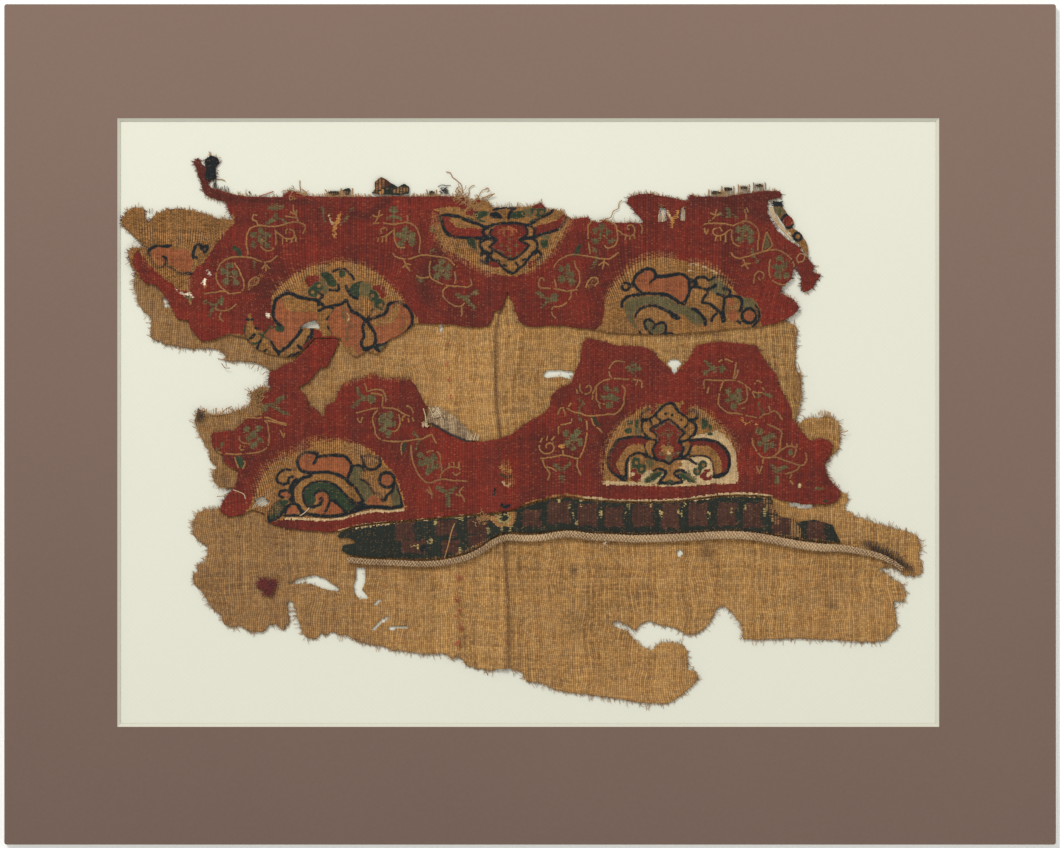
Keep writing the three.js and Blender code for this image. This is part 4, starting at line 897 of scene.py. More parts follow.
# Gold stems of the lower vines: each row is one thread.
LOWER_STEMS = [
    "30,12 31,16 33,19.5 37,21.5 42,22 47,21.6 52,21.4 54,20.6 54,17.6",
    "39.4,22 38.2,25 39,28.4 42,30.6 46,30", "52,21 51,18.6",
    "99,22 100.4,26 98.4,29.6 94,31.4 91,30",
    "-139,3 -135,3.2 -131,3 -128,3.4 -125,2.5 -121,1 -117.5,0",
    "-127.5,2 -124,1.2 -120,0.2 -117.5,-0.7",
    "-128,2 -126.8,0 -126.2,-3 -126,-7 -126.4,-10 -128,-12 -131,-13.5 -136,-14 -142,-14.5 -148,-14 "
        "-151,-13.3",
    "-140.3,-5.5 -140.2,-7.5 -138.8,-8.8 -137,-9.3 -135,-9.3",
    "-139.8,-10 -140,-12 -138.5,-12.3 -138,-10.5",
    "-142.6,-15.5 -142,-18 -140.7,-21.2",
    "-138.2,-17.5 -137.5,-19 -138.8,-21.5",
    "-121,-2.5 -120,-4 -119.5,-5.5",
    "-118.6,-4 -119,-6.5",
    "-80,20 -79,17.5 -78.5,16 -75,16.8 -71.5,16.3 -70,14 -69.5,10.5",
    "-77,15 -73,14.5 -71,13 -71.5,8.5",
    "-84,5.5 -80,6.5 -75,7.6 -70,8 -65,7.3 -61,5 -58,3.8",
    "-83.5,3 -82,1 -80.8,3.5",
    "-73.5,7 -75.5,4.5 -76,2 -75,-2 -74.5,-5 -72.5,-7 -70,-8 -65,-8.3 -60,-8.2 -56,-7.4 -52,-7 -50,-6 "
        "-47.5,-5 -46,-8 -45,-9.2",
    "-63.5,5 -62.8,2 -63,-0.5 -64.5,-3 -67,-3.5",
    "-61.5,1.5 -61.5,3.4 -60,4.4", "-58.5,1 -58.8,3.2", "-56,1.5 -57,3.4",
    "-60,9 -57.5,8 -56.3,5.5",
    "-61.8,-8.6 -62.4,-11.6 -61.8,-15",
    "-57.5,-10 -57.3,-14 -56.5,-18 -55,-22 -53,-25.5 -50.5,-27.8 -48.5,-28.3 -45.5,-27.3 -42,-26.5 -38,-27 "
        "-33,-27.3 -30,-27.5",
    "-50,-13.5 -48,-12.8 -45,-13.3 -43.5,-15 -43.3,-18 -42.7,-21 -43,-24 -43.3,-26",
    "-43,-24 -41,-22 -38.5,-20.8 -36,-20.8 -34,-21.5 -34,-23.5 -36,-24.5 -37.5,-23",
    "-39,-20.8 -39,-18.5", "-36.6,-20.6 -37,-18", "-34.4,-21 -34.5,-18",
    "-49,-30 -47.5,-33 -47.5,-36", "-50,-31.4 -47.6,-34",
    "-32,-30 -34,-32.6 -32.6,-35 -31.6,-37.4", "-36,-34 -33,-34.6",
    "32,19 32,15 32,12.5 33.5,10.3 36,9.8", "33,10 34,7.5",
    "44.5,19 46,16 45.3,13 45.3,10 43.5,7 41,5 37,4.8 32,4.2 28,4 24,5.3 20,6.3 18,7.5 15,7.8 13.8,6 "
        "13.5,4.5",
    "16,8 17,5 17,4", "18.5,8.5 20,10.5",
    "24.2,19.6 24.2,16.8 25.8,14.8 28.4,15 29.6,17 28.4,18.8 26.8,17.6",
    "30.2,14.6 31.2,16.8", "22.6,17 23,14.8",
    "29.5,3 31,-0.5 33,-2 35,-4",
    "27.3,2 27.5,-2 27.3,-6 26.5,-10 25.5,-13 24,-16.3",
    "20,3 20,1 17,0 14.3,-0.5 13.7,-3 13.8,-4.5",
    "5,-16.5 10,-16 13,-15.3 16,-15 19,-15.5 22,-16.5 24,-16.5",
    "16,-15 16,-12.5",
    "4.4,-10 5,-12.6 7.4,-14.2 10.4,-13.6 11.6,-11.2 10.2,-9.2 8,-9.8 7.8,-11.4",
    "5,-8.8 6,-6.4", "7.8,-8 8.6,-5.4", "10.4,-7.8 11.8,-5.8",
    "6,-17 7,-20 8.5,-22 9.5,-24 8.5,-27", "8,-20.5 11,-21.5 12.8,-23",
    "23,-17 22.8,-20 23.8,-23 24.5,-24.5",
    "98.3,22 99,26 99.5,30",
    "84,17 84,20.5 84.6,21.4 90,21.2 95,21.2 99,21.2 102,20 105,18 107.5,16 110,15.2 112.5,15.5",
    "85.5,15 86.5,18",
    "93.5,21 92.3,18 91.5,15 91,12 91,9.5 93,7.5 96,5.5 100,5.3 104,4.2 108,3.5 111,3.3 113,4.8 116,5.3",
    "104,19.5 104.8,16 104.8,12 103,10.5 100.5,9.5", "102,7.5 104,8",
    "108.5,19.5 110,21 112,20", "107.5,16 108.5,13", "112,18 113,16.5",
    "115.5,9 116,6 118,6.5 120,5 121,3.5 121.8,2",
    "107.3,-6.5 107.8,-10 109.5,-13 111.5,-15.5 114,-16.2 117.5,-15.8 120,-16.3 123,-17.5 127,-18.8 "
        "130,-19.7 132.5,-19.3 133.5,-16.5 133,-13.5",
    "114.5,0 117,-1 120,-2.5 121.5,-4 121,-8 120.5,-12 119.5,-14 117.5,-15.5",
    "119.5,-14 122,-12 124.5,-10.7 127,-10.7 128.5,-12 128,-14.5 127,-16",
    "124,-10.8 124,-9", "126.5,-10.6 126.5,-8.8", "128.4,-11.6 129,-9.3",
    "112.5,-16.5 112.3,-19 111.5,-21.5 110.5,-24", "109.5,-20 110.3,-23",
    "130,-20 129,-22 126,-23.3 123,-24", "126.5,-24 125.5,-26.5 127,-29",
]


# Upper band: the far left tongue, three arches and the hanging motif between them.
TONGUE = [
    ("cut", "tan", "-200,96 -196,106 -186,106 -160,106 -143,101 -143,97 -147,93.4 -150,89.6 -154,83.6 "
        "-157,79 -161,76 -164.4,72 -165.6,66 -169,64 -172.4,67.6 -176,70 -182,75 -186,80 -189.6,84.6 "
        "-190,86", 0),
    ("cut", "tan", "-200,88 -189,86.6 -189.6,84 -191.4,82 -192,78 -190,74 -188,71 -196,70", 0),
    ("fill", "pink", "-184,84.6 -181,86.2 -176,86.4 -171.6,84.6 -166,84.4 -163.4,81 -163.4,75.6 -165.6,73.4 "
        "-170,74.6 -174.6,77 -178.6,76 -182,79", 0),
    ("line", "navy", "-173.6,86.3 -176.6,86 -179.6,86.2 -182.4,85.4 -184.2,83.6 -183.6,81 -182.2,78 "
        "-180.4,76.4 -178.6,75.8 -176.4,77 -175.6,79 -176.4,80.6 -177.2,81", 1.3),
    ("line", "navy", "-176.6,77.2 -173.6,75.8 -171,74 -168.6,72.8 -166,72.9 -163.4,72.7", 1.2),
    ("line", "navy", "-162.4,80.4 -162.6,82.4 -161.8,85.4 -160.5,87.2 -159,86.4 -158.6,84.8", 1.3),
    ("line", "navy", "-158.6,84.8 -157,86.2 -155.8,86 -155.8,84.6 -157.6,83", 1.2),
    ("line", "navy", "-163,81.6 -161,80.4", 1.2),
    ("worn", "", "-184,80 -178,76 -170,72 -166,68", 4.0),
    ("worn", "", "-186,94 -176,90 -160,90 -150,92", 3.0),
    ("line", "tan", "-166,66 -164.6,62 -164,58.6", 1.4),
    ("pale", "", "-170.4,64.6 -168,63.2 -164.6,63 -163.4,61.4", 0.8),
    ("pale", "", "-155,73.6 -154.8,72.6", 1.4),
    ("fill", "pink", "-158.4,70 -156.4,69.4 -156,66.6 -157.6,66", 0),
    ("pale", "", "-157.2,69.4 -157.6,68.2", 1.6),
    ("disc", "olive", "-165.4,61.4 -163.6,61", 1.0),
]

UPPER_LEFT_ARCH = [
    ("fill", "tan", "-125,61 -122,65 -118,69 -113,72.6 -107,75.6 -100,77.5 -93,78.3 -85,77.8 -78,75.4 "
        "-72,71.4 -67,66 -62,60.6 -57.6,55 -54,50 -56,44 -66,38 -74,30 -86,33 -94,34 -98,43 -104,46 "
        "-114,46.4 -122,47 -124.6,52", 0),
    ("cut", "tan", "-127,43.8 -124,47 -118,47 -106,48 -104.6,42 -109,36 -114,31 -124,31 -140,36 -150,41 "
        "-146,44 -139,43.4 -134,43.6 -131,45.6", 0),
    ("fill", "tan", "-137.6,45 -136.4,50 -135.2,54.2 -134,50 -132.6,45.4 -130,43 -132,39.6 -135,38.8 "
        "-137,41", 0),
    ("fill", "pink", "-128,42.8 -127,46.2 -121.6,46.4 -116.6,47.6 -111,46.2 -113.6,42 -118,38.4 -121.4,36.8 "
        "-124,39", 0),
    ("line", "green", "-137.6,48 -137.8,44 -136.2,40.6 -133.4,38.9 -131,39.6 -129.4,42 -128,44.6 -126,46.2 "
        "-123,46.4", 0.9),
    ("line", "green", "-131,44 -128.4,42.4 -126,41 -124.4,39", 0.9),
    ("line", "navy", "-125,39.6 -123.6,37.2 -121.6,35 -118,36.8 -115.4,39.4 -112.6,42.6 -110.4,45.6", 1.4),
    ("fill", "green", "-123.4,46 -121.6,48.6 -118.8,47.4 -119.2,44.6 -121,44.4", 0),
    ("line", "green", "-128,48.4 -126.4,47.2 -124.6,46.8", 1.0),
    ("line", "navy", "-137,50.6 -134,50.6", 0.9),
    ("line", "navy", "-132.6,46.6 -130.6,46.4", 0.9),
    ("line", "navy", "-135.4,41.4 -133,43.4", 1.1),
    ("line", "navy", "-131.8,36.4 -131.2,38.4 -130,40.4", 1.1),
    ("line", "navy", "-129,34.6 -127.2,36.2", 1.1),
    ("line", "navy", "-121.6,35 -121.4,33.6", 1.4),
    ("line", "navy", "-116.6,32.6 -113,34 -109,34.4 -107.6,36.4 -106.4,38.6 -105.6,42 -105.4,46", 1.5),
    ("line", "navy", "-112,38 -110,36.6 -107.8,40 -107,42.4", 1.3),
    # Left form.
    ("fill", "tan", "-124.4,56 -123,60.4 -118,63.6 -112,61.6 -106,60.6 -101,58.4 -99.6,54.6 -102.4,52 "
        "-110,50.6 -124,50", 0),
    ("fill", "pink", "-124.2,53 -123.6,58 -121,61 -119,58.6 -117.6,55.4 -113,54.2 -107,54.4 -102.8,53.6 "
        "-103,50.4 -108,47.6 -114,46.6 -120,47.6 -123,49.4", 0),
    ("line", "navy", "-120.4,47.8 -122.6,49.4 -124,52 -124,56 -122.8,60 -120.4,62 -117.4,63.4 -115,63 "
        "-112,61.6 -107,60.6 -103.4,60 -101,58.6 -99.8,57", 1.6),
    ("line", "navy", "-119,62.4 -117.6,64.6 -116,63.4", 1.3),
    ("fill", "tan", "-101.6,54.4 -98.6,55.2 -95.6,55.4 -97.4,52.4 -99.6,50.4 -102.2,51.6", 0),
    ("line", "navy", "-101.8,55 -99,56.4 -96,56.6 -94.4,55 -96.4,52.6 -98,50.8", 1.4),
    ("line", "navy", "-96.6,57 -93.6,57.6 -90.4,58.4 -88.6,60 -87.6,57.6 -86.4,55", 1.3),
    ("fill", "tan", "-100.4,49.6 -98,49 -95.6,45 -95.4,42 -99,41.8 -101,45", 0),
    ("line", "navy", "-97.8,47.2 -96,45 -94.6,43", 1.1),
    ("line", "navy", "-99,42.2 -96.6,42.4", 1.1),
    ("line", "navy", "-102.4,57.4 -101.4,60.4 -100.2,62 -101.8,63.6", 1.2),
    # Middle column.
    ("fill", "pink", "-97.4,51 -94.6,55.6 -90.4,57.2 -86.4,54.6 -82.4,52 -80.4,49 -80.2,43 -81.6,39 -86,37.6 "
        "-92,38.6 -95,43 -97,47", 0),
    ("line", "olive", "-90,56.4 -90.4,53 -88.2,49.6 -86.4,47.6", 1.4),
    ("line", "cream", "-88.6,54 -87.4,52 -88,50", 0.9),
    ("line", "olive", "-88.6,46 -88,43 -88.6,40", 1.0),
    ("fill", "tan", "-79.6,48.4 -77,45.4 -75.8,42 -76.4,38.6 -79.4,37.4 -80.6,39.6 -79.4,43 -80,46", 0),
    # Right form.
    ("fill", "pink", "-78.6,50.8 -74,52.2 -69,53 -67,58 -63,59 -59.4,56.8 -57,53 -57.2,48.4 -60,43.8 "
        "-65,41.4 -71,39.4 -74.8,38.4 -74,43 -76.4,47.4", 0),
    ("fill", "tan", "-76.6,50.4 -71,51.4 -68.2,53.4 -66.4,57 -63.4,58 -63.4,54 -66,49.4 -72,47.6 -75,47.4",
        0),
    ("line", "tan", "-64.4,49.4 -63.6,46.4 -61.4,45.6 -59.6,47.6 -60,50.6 -62,52.8", 0.8),
    ("line", "navy", "-86.6,54.8 -84,53.6 -81.2,51.8 -78.6,49.4 -76.4,46.4 -74.8,43.4 -74.6,40.4 -76,37.6 "
        "-78.6,36.8 -80.4,36.2", 1.6),
    ("line", "navy", "-80.2,49.4 -80.9,46 -80.2,43 -81.4,40 -81.2,38 -79.4,35.6 -77.8,32.6", 1.3),
    ("line", "navy", "-75.6,38.4 -72,38.2 -68.4,39.6 -64.6,41.2 -61,43.4 -58.6,46 -57,49.4 -57.2,53 -58.8,56 "
        "-61.4,58.2 -63.6,59.2 -66.6,58.8 -68.4,57.6 -69,55.6 -70,53.6 -72.8,52.4 -76,51.2 -78.6,50.6 "
        "-80.4,50.6", 1.35),
    ("line", "navy", "-78.8,50.8 -77.2,53 -76.2,55.6", 1.2),
    ("line", "navy", "-75.4,37.6 -73,35.6 -70.6,34", 1.5),
    ("fill", "olive", "-73.4,37.4 -69,38.6 -66,39 -69,35.6 -71.8,35.4", 0),
    # Leaves and arches inside.
    ("fill", "red", "-108.4,70.6 -105.8,71.9 -102,72 -102.4,69.4 -105,66.8 -107.6,67", 0),
    ("fill", "green", "-101.4,73 -97,73.4 -94.6,70.6 -93,66.6 -96.4,65.4 -98.8,69.4", 0),
    ("fill", "olive", "-100.8,71 -98.8,69 -97.4,65.4 -97.6,63 -99.6,62.8 -100.6,66", 0),
    ("line", "tan", "-97.6,66.6 -95,65.8 -93.2,66.6", 1.0),
    ("line", "navy", "-97,65 -94.6,64.6 -92.4,65.2 -92.8,67.4", 1.0),
    ("line", "navy", "-95.2,74 -92,75.2 -89.6,75 -87.2,72.8 -85,70.2", 1.1),
    ("fill", "green", "-92.4,74 -89.4,74.2 -89.6,71.6 -91.4,71", 0),
    ("fill", "green", "-87.2,66 -84,68.6 -80.4,69 -82.4,66 -82.6,62 -85,60.8 -87.2,62.8", 0),
    ("fill", "olive", "-81.6,68.6 -78,68.4 -76.4,65 -78.6,60 -81.6,62 -82,65", 0),
    ("line", "navy", "-88.8,67 -88.4,65.4 -87.4,63.6 -85.8,61.6 -83.6,60.8", 1.3),
    ("fill", "red", "-76.4,66 -73,67.6 -70.2,66.6 -69.2,62.6 -71.8,61 -73,63.4", 0),
    ("disc", "green", "-104.8,64 -102.4,66.4 -75.6,61.6 -72.8,58.2", 2.5),
    ("disc", "tan", "-105,63.8 -101.9,66.9 -76,62.2 -72.2,57.6", 0.9),
    ("line", "green", "-76.6,64.4 -74.4,63 -74.6,60", 1.6),
    ("line", "green", "-74,56.6 -71.4,55.4", 1.2),
    ("worn", "", "-122,64 -113,71 -102,76 -92,77.4 -82,76 -72,69 -63,60", 3.2),
    ("worn", "", "-79,60 -77,53", 3.0),
    ("fill", "red", "-96.6,42.6 -93,42 -92.4,36 -95,33 -108,33 -110,37 -104,42", 0),
    ("fill", "pink", "-92,40.4 -87,38.6 -84.6,36 -82,33 -81.4,36.4 -83,38.6 -87,40", 0),
]

UPPER_RIGHT_ARCH = [
    ("fill", "tan", "35.6,40 35.4,50 35.8,56 37,61 39.4,65.4 42,69 45.4,72.6 49.4,76.2 54,79 60,80.4 66,80.2 "
        "72,79.4 78,77.8 84,76.2 90,73.4 93.4,70.8 96,68 98.4,65 100.4,62.4 104,61.4 107.6,60.6 110.4,57.4 "
        "111.6,53.6 110.8,49.6 112.6,47.6 119,47.6 119,40", 0),
    ("line", "cream", "76,77 79,77.4 82,76.6 86,75.4 90,73", 1.0),
    ("line", "cream", "76,74.4 79,74", 0.7),
    ("ring", "navy", "46.2,66.6", 1.8),
    ("fill", "pink", "51,68 51.4,71.4 54,74 57,74.6 59.6,73.4 60.4,71.2 65,71 71,71.6 75.4,70.8 77,67 "
        "76.6,62.6 75.6,60.4 74.4,58.4 71.4,60 68.4,62.4 64.4,63.8 58,64 54,64.6 52,66.4", 0),
    ("line", "navy", "50.2,67 50,69.4 51.2,71.8 53.6,74 56.6,75.2 59.2,74.6 60.6,72.6 60.6,71.4 63,71.4 "
        "67,71.8 70.4,72.6 74,72.2 76.2,70.6 76.8,67.4 76.9,64.4 76,61.6 74.6,58.4", 1.5),
    ("line", "navy", "60.6,70.6 59,69.6 57.8,67.8", 1.0),
    ("line", "navy", "50.2,67.4 51.8,65.4 53.8,63.6", 1.3),
    ("fill", "olive", "45,56 46,59.4 49.6,61.6 55,62.2 62,62.2 67,61 70.6,58.8 74,57.6 78,56.6 81.4,54.6 "
        "84,51.6 84.8,49.4 83.6,48.2 80,48 77,49.6 74.4,52.4 70.6,53.4 66.4,55.6 62,57 57,57.4 53,56.4 "
        "50.8,54 50.4,50.6 52.6,46 50,46.4 47.6,50 46.4,53", 0),
    ("fill", "tan", "51,53 52,55.2 54.4,56.4 59,56.9 63,56 66.6,54.2 70,51.6 73.4,50.4 74,46 73.6,42 62,42 "
        "54,44 52,47 51.4,50", 0),
    ("line", "navy", "44.2,57 44.6,59 46.4,61.2 49,62.2 52.6,62.6 56.4,63.2 60.6,63 64.6,62.8 68,61.6 "
        "70.4,60 72.6,58.6 74,58.4", 1.5),
    ("line", "navy", "50.8,52.4 52,54.6 54,56.2 57,57.2 60.4,57.2 63.6,56 67,54.2 69.6,52", 1.2),
    ("fill", "navy", "66.4,55 69.6,53.8 72.6,51.6 71,50.4 68.4,51.6", 0),
    ("fill", "olive", "55.6,49.6 57.4,50.4 59.4,49.4 60.6,47.6 63.6,48.6 64.8,47.4 64.4,44.8 62,43.6 58.6,44 "
        "56,46.4", 0),
    ("line", "navy", "57.6,44.6 56,46.4 55,48.4 55.6,50.2 57.6,50.6 59.4,49.4 60.4,47.8 62.4,49 64.4,49 "
        "65.6,47.4 65.4,45 64.6,43.2", 1.1),
    ("disc", "navy", "59.4,46.4", 0.8),
    ("line", "navy", "52.8,44.6 54,43 56.4,42.6 59,43.6", 1.0),
    ("line", "navy", "62.6,43 65,43.8 68,43.8 70,42.6", 1.1),
    ("fill", "olive", "64,41.4 65.6,43 69,43 70.6,41.2", 0),
    ("line", "navy", "77.4,65.6 79.4,66.4 82,66 84.8,65 85.8,63.4 84,61.6 83.4,60 83,58.8", 1.2),
    ("line", "navy", "83,58.8 86,58.4 88.6,56.8 90.6,55 92,53.4 92.6,51", 1.3),
    ("line", "navy", "78.6,55.6 81,54.6 83,52.4 84.6,50 84.4,48.2", 1.5),
    ("line", "navy", "87.6,50 88.4,52 90,53.4", 0.9),
    ("line", "navy", "80,70 81.4,71 84,71.2 86,69.8", 1.3),
    ("line", "navy", "77,69.6 79.4,69 80.2,67.6 79,66.6", 1.8),
    ("fill", "olive", "87,69.6 90.4,70.8 93.6,70 94.4,66.4 95.8,65 95.4,62.4 92.6,62 89.6,63 87,64 86.4,66",
        0),
    ("line", "navy", "86.6,69.4 89,71.2 92,71.4 94.2,69.6 95,66.6 93.4,65.4 96.2,65 96.4,62.6 94.6,61.6 "
        "92.6,62.2 90.6,63", 1.3),
    ("line", "navy", "89.4,67.2 88,66 86.4,65.6", 1.5),
    ("fill", "pink", "95,60 97.6,60.6 98.6,58.4 96.4,57", 0),
    ("fill", "pink", "95.4,53.6 97.8,55.2 100,54 99.4,50.6 97,50.2", 0),
    ("fill", "olive", "101.4,60.6 105,61.4 108,60 109.6,57.4 106,56 102.4,57", 0),
    ("disc", "pink", "105.8,52.4", 2.6),
    ("ring", "navy", "105.8,52.4", 3.4),
    ("line", "navy", "94.6,61.4 97,62 100,61.8 102,60.4 102.2,57.6 101.4,54.6", 1.2),
    ("line", "navy", "109,57.6 110.4,55 110.6,51.6 109,48.6 107.6,47.4", 1.1),
    ("line", "navy", "93.8,60.6 93.6,57 93.4,53 94,50.4 93,49.8", 1.5),
    ("line", "navy", "100,50 101.4,49", 1.0),
    ("worn", "", "38,62 46,73 56,80 68,80.4", 3.2),
    ("worn", "", "78,78 88,75 96,68", 3.0),
]

HANGING_MOTIF = [
    ("fill", "tan", "-46.5,104 -44,102.6 -43.4,99 -45,95.6 -45.4,91 -43.6,88 -41,85.4 -37,82.6 -33,80.6 "
        "-28.6,78.4 -25,76 -21,74 -16,72.6 -10,71.6 -5,72 0,74 4,76.6 7,79.4 10,83 13,87 15.4,91 17,95 "
        "18.6,99 19,101 16,103 11,104.4 8,104 2,105 -5,106 -17,105 -18,107 -22,108 -28,106 -31,104 -34,104.6 "
        "-40,105", 0),
    ("fill", "red", "-31,103.4 -28,104.6 -25.6,103 -27,101 -30.6,101", 0),
    # Wings.
    ("fill", "red", "-43,99 -42.6,96 -40.6,92.6 -38,90.8 -30,90.2 -22,90 -21,92 -22.6,94.4 -22,96 -26,97 "
        "-32,98 -37,99.6 -41,100.6", 0),
    ("fill", "tan", "-39,99.4 -36,100.2 -32,98.4 -27,97 -22.6,96 -22.4,94.6 -28,94.8 -34,94.8 -37,96.4", 0),
    ("line", "navy", "-43.6,98.6 -43.8,100.6 -41,101.2 -38,101 -34.6,100.4 -31.4,99 -28,97.6 -24.4,96.6 "
        "-21.4,95 -20,95", 1.4),
    ("line", "navy", "-42.6,98.4 -41.8,94.8 -39.8,92 -37.4,90.6 -33,90.2 -28,90 -23,90 -20,89.6 -17,89", 1.4),
    ("line", "navy", "-21.6,95 -23,93 -22,91.4 -20.6,90.4", 1.2),
    ("line", "green", "-30,99.6 -26,98.6 -22,98", 0.9),
    ("fill", "red", "2,95 5,96.4 10,97.4 14,99.4 16,101.4 17.6,101 17,97 13.4,94 8,92 3,91 1.4,92.4", 0),
    ("fill", "tan", "0.6,96 4,98.6 9,101 12.4,103 15,102 13.6,99.6 10,98 5,96.6 2.4,95.2", 0),
    ("line", "navy", "-0.6,96.4 2,98 5,100 8.4,101.4 10.4,102.6 10.8,104", 1.4),
    ("line", "navy", "17.8,101 17.2,98.4 15.6,96 12.6,93.8 8.6,92.6 4.6,91.4 1.6,90.4 -1,90 -5,89", 1.4),
    ("line", "navy", "0.4,95.8 2.4,94 1.8,91.8", 1.1),
    ("line", "green", "0,98 3,99.6 6,101", 0.8),
    # Shield in the middle.
    ("fill", "red", "-18.6,94.6 -14,96.4 -8,97 -3.4,96.4 -1.4,93.4 -2.6,91 -5.6,89.8 -5,88.8 -1,86.8 -4,83.6 "
        "-8,80.8 -10.6,80.6 -14,82.4 -18.8,85.6 -15.4,88.6 -17.6,89.8 -19,91.4 -19.2,93", 0),
    ("line", "navy", "-20.4,95.4 -17,96.6 -12,97.2 -7,97.3 -3.4,96.6 -0.6,96.2", 1.2),
    ("line", "navy", "-18.8,94 -19.4,92.4 -18.4,90.6 -16,89 -17.4,87.6 -19.6,85.6 -17,83.8 -13,81.4 -10,79.8 "
        "-7.4,80.2 -4,82.6 -1,85.6 -0.6,86.6 -3,88 -5,89 -3,90.4 -1.4,92 -1.6,94.6 -3,96.4", 1.1),
    ("line", "olive", "-18.2,85.8 -14,83 -10,81.2 -6.4,82 -2.4,85.6", 0.7),
    ("fill", "pink", "-13.2,92.4 -12.4,94.8 -10.4,95.8 -8.6,94.8 -7.8,92.4 -8.8,91 -12.2,91", 0),
    ("fill", "red", "-12,92 -11.4,94 -9.4,94 -8.9,92 -10.4,91.2", 0),
    ("line", "pink", "-15.6,92.6 -14,94 -12,95.4", 0.7),
    ("line", "pink", "-5.4,92.6 -7,94 -9,95.4", 0.7),
    ("line", "olive", "-10.4,90.4 -10.4,87", 0.7),
    ("disc", "olive", "-14,86.6 -11.6,85.6 -7.4,86.4", 0.7),
    ("disc", "olive", "-9.4,84", 0.8),
    # Outer frame of the shield, with short barbs.
    ("line", "navy", "-20.4,89.6 -23.4,88.6 -24.2,86.6 -22.8,84 -21,82.4 -19.6,81 -17.6,79 -15,77.4 -13,75.6 "
        "-11,73.8 -8.4,73 -6.6,74 -5,75.6 -3,77 -1.4,79.4 0.4,81.6 2.6,82.6 3.4,85 3.4,87.6 1.6,89.4 -1,90",
        1.3),
    ("line", "navy", "-20.4,82.4 -18,82.8", 0.9),
    ("line", "navy", "-16.4,79.4 -15,79", 0.9),
    ("line", "navy", "-12.6,77 -11.4,76.4", 0.9),
    ("line", "navy", "-7,78 -5.6,76.8", 0.9),
    ("line", "navy", "-4,79.4 -2.4,79.8", 0.9),
    ("line", "navy", "-23.6,82 -21.6,83.4 -20,81.4 -21,79.4 -19,77.4", 1.7),
    ("line", "navy", "-24.4,79.4 -22,78 -19.6,77.4", 1.3),
    ("line", "navy", "1,82.6 3.6,84 5,82.4 5.8,81.4 3.6,79.6 2.6,78.2", 1.4),
    ("fill", "red", "-20.4,78 -17,78.6 -14.6,76.4 -18,75.6", 0),
    ("fill", "red", "-1,77.6 2,79.6 2.6,77 -0.6,75.6", 0),
    ("fill", "green", "-30,90 -27,89.6 -26,86 -26,83.6 -29,86 -30.4,88", 0),
    ("fill", "green", "5,88.6 8,90 8.8,86.4 8,84.6 5.4,86", 0),
    ("fill", "olive", "5.4,91 9,92 9.4,89.6 6,89.4", 0),
    ("fill", "green", "-27,102.6 -23,103 -20,102.4 -22,100.4 -26,99.6", 0),
    # Leaves at the top.
    ("line", "navy", "-17.6,103.6 -13,104.8 -7.4,104.6 -8.6,103.4 -10,101.6 -10.4,99.6", 1.2),
    ("fill", "navy", "-19.4,102 -16.6,102.6 -14.6,101.4 -13,99.6 -16,99.4 -19,100.4", 0),
    ("fill", "green", "-9.4,101 -7,103 -4,103.4 -2,104.4 -1,102.4 -3,100 -6,99.4 -9,99.6", 0),
    ("fill", "olive", "-3,104 1,104.6 1.4,101 -1,100", 0),
    ("fill", "green", "0.6,104.4 4,104.6 7.2,104.2 7,101 3.6,100.4 1,101.4", 0),
    ("disc", "olive", "2.4,102.4 5.6,102.4", 0.9),
    ("fill", "red", "1,104.6 4,107 7,106.6 7,104.4", 0),
    ("worn", "", "-46,100 -45,92 -40,85 -30,79 -20,74", 3.2),
    ("worn", "", "-38,88 -30,84 -26,80", 3.4),
    ("worn", "", "19,100 14,90 8,82 0,75", 3.0),
]


def rosette(x, y, lobes, size=1.7):
    """An olive flower of a centre and a few round lobes."""
    return [("disc", "olive", lobes, size), ("disc", "olive", [(x, y)], 2.2), ("disc", "tan", [(x + 0.6,
        y - 0.4)], 0.7)]


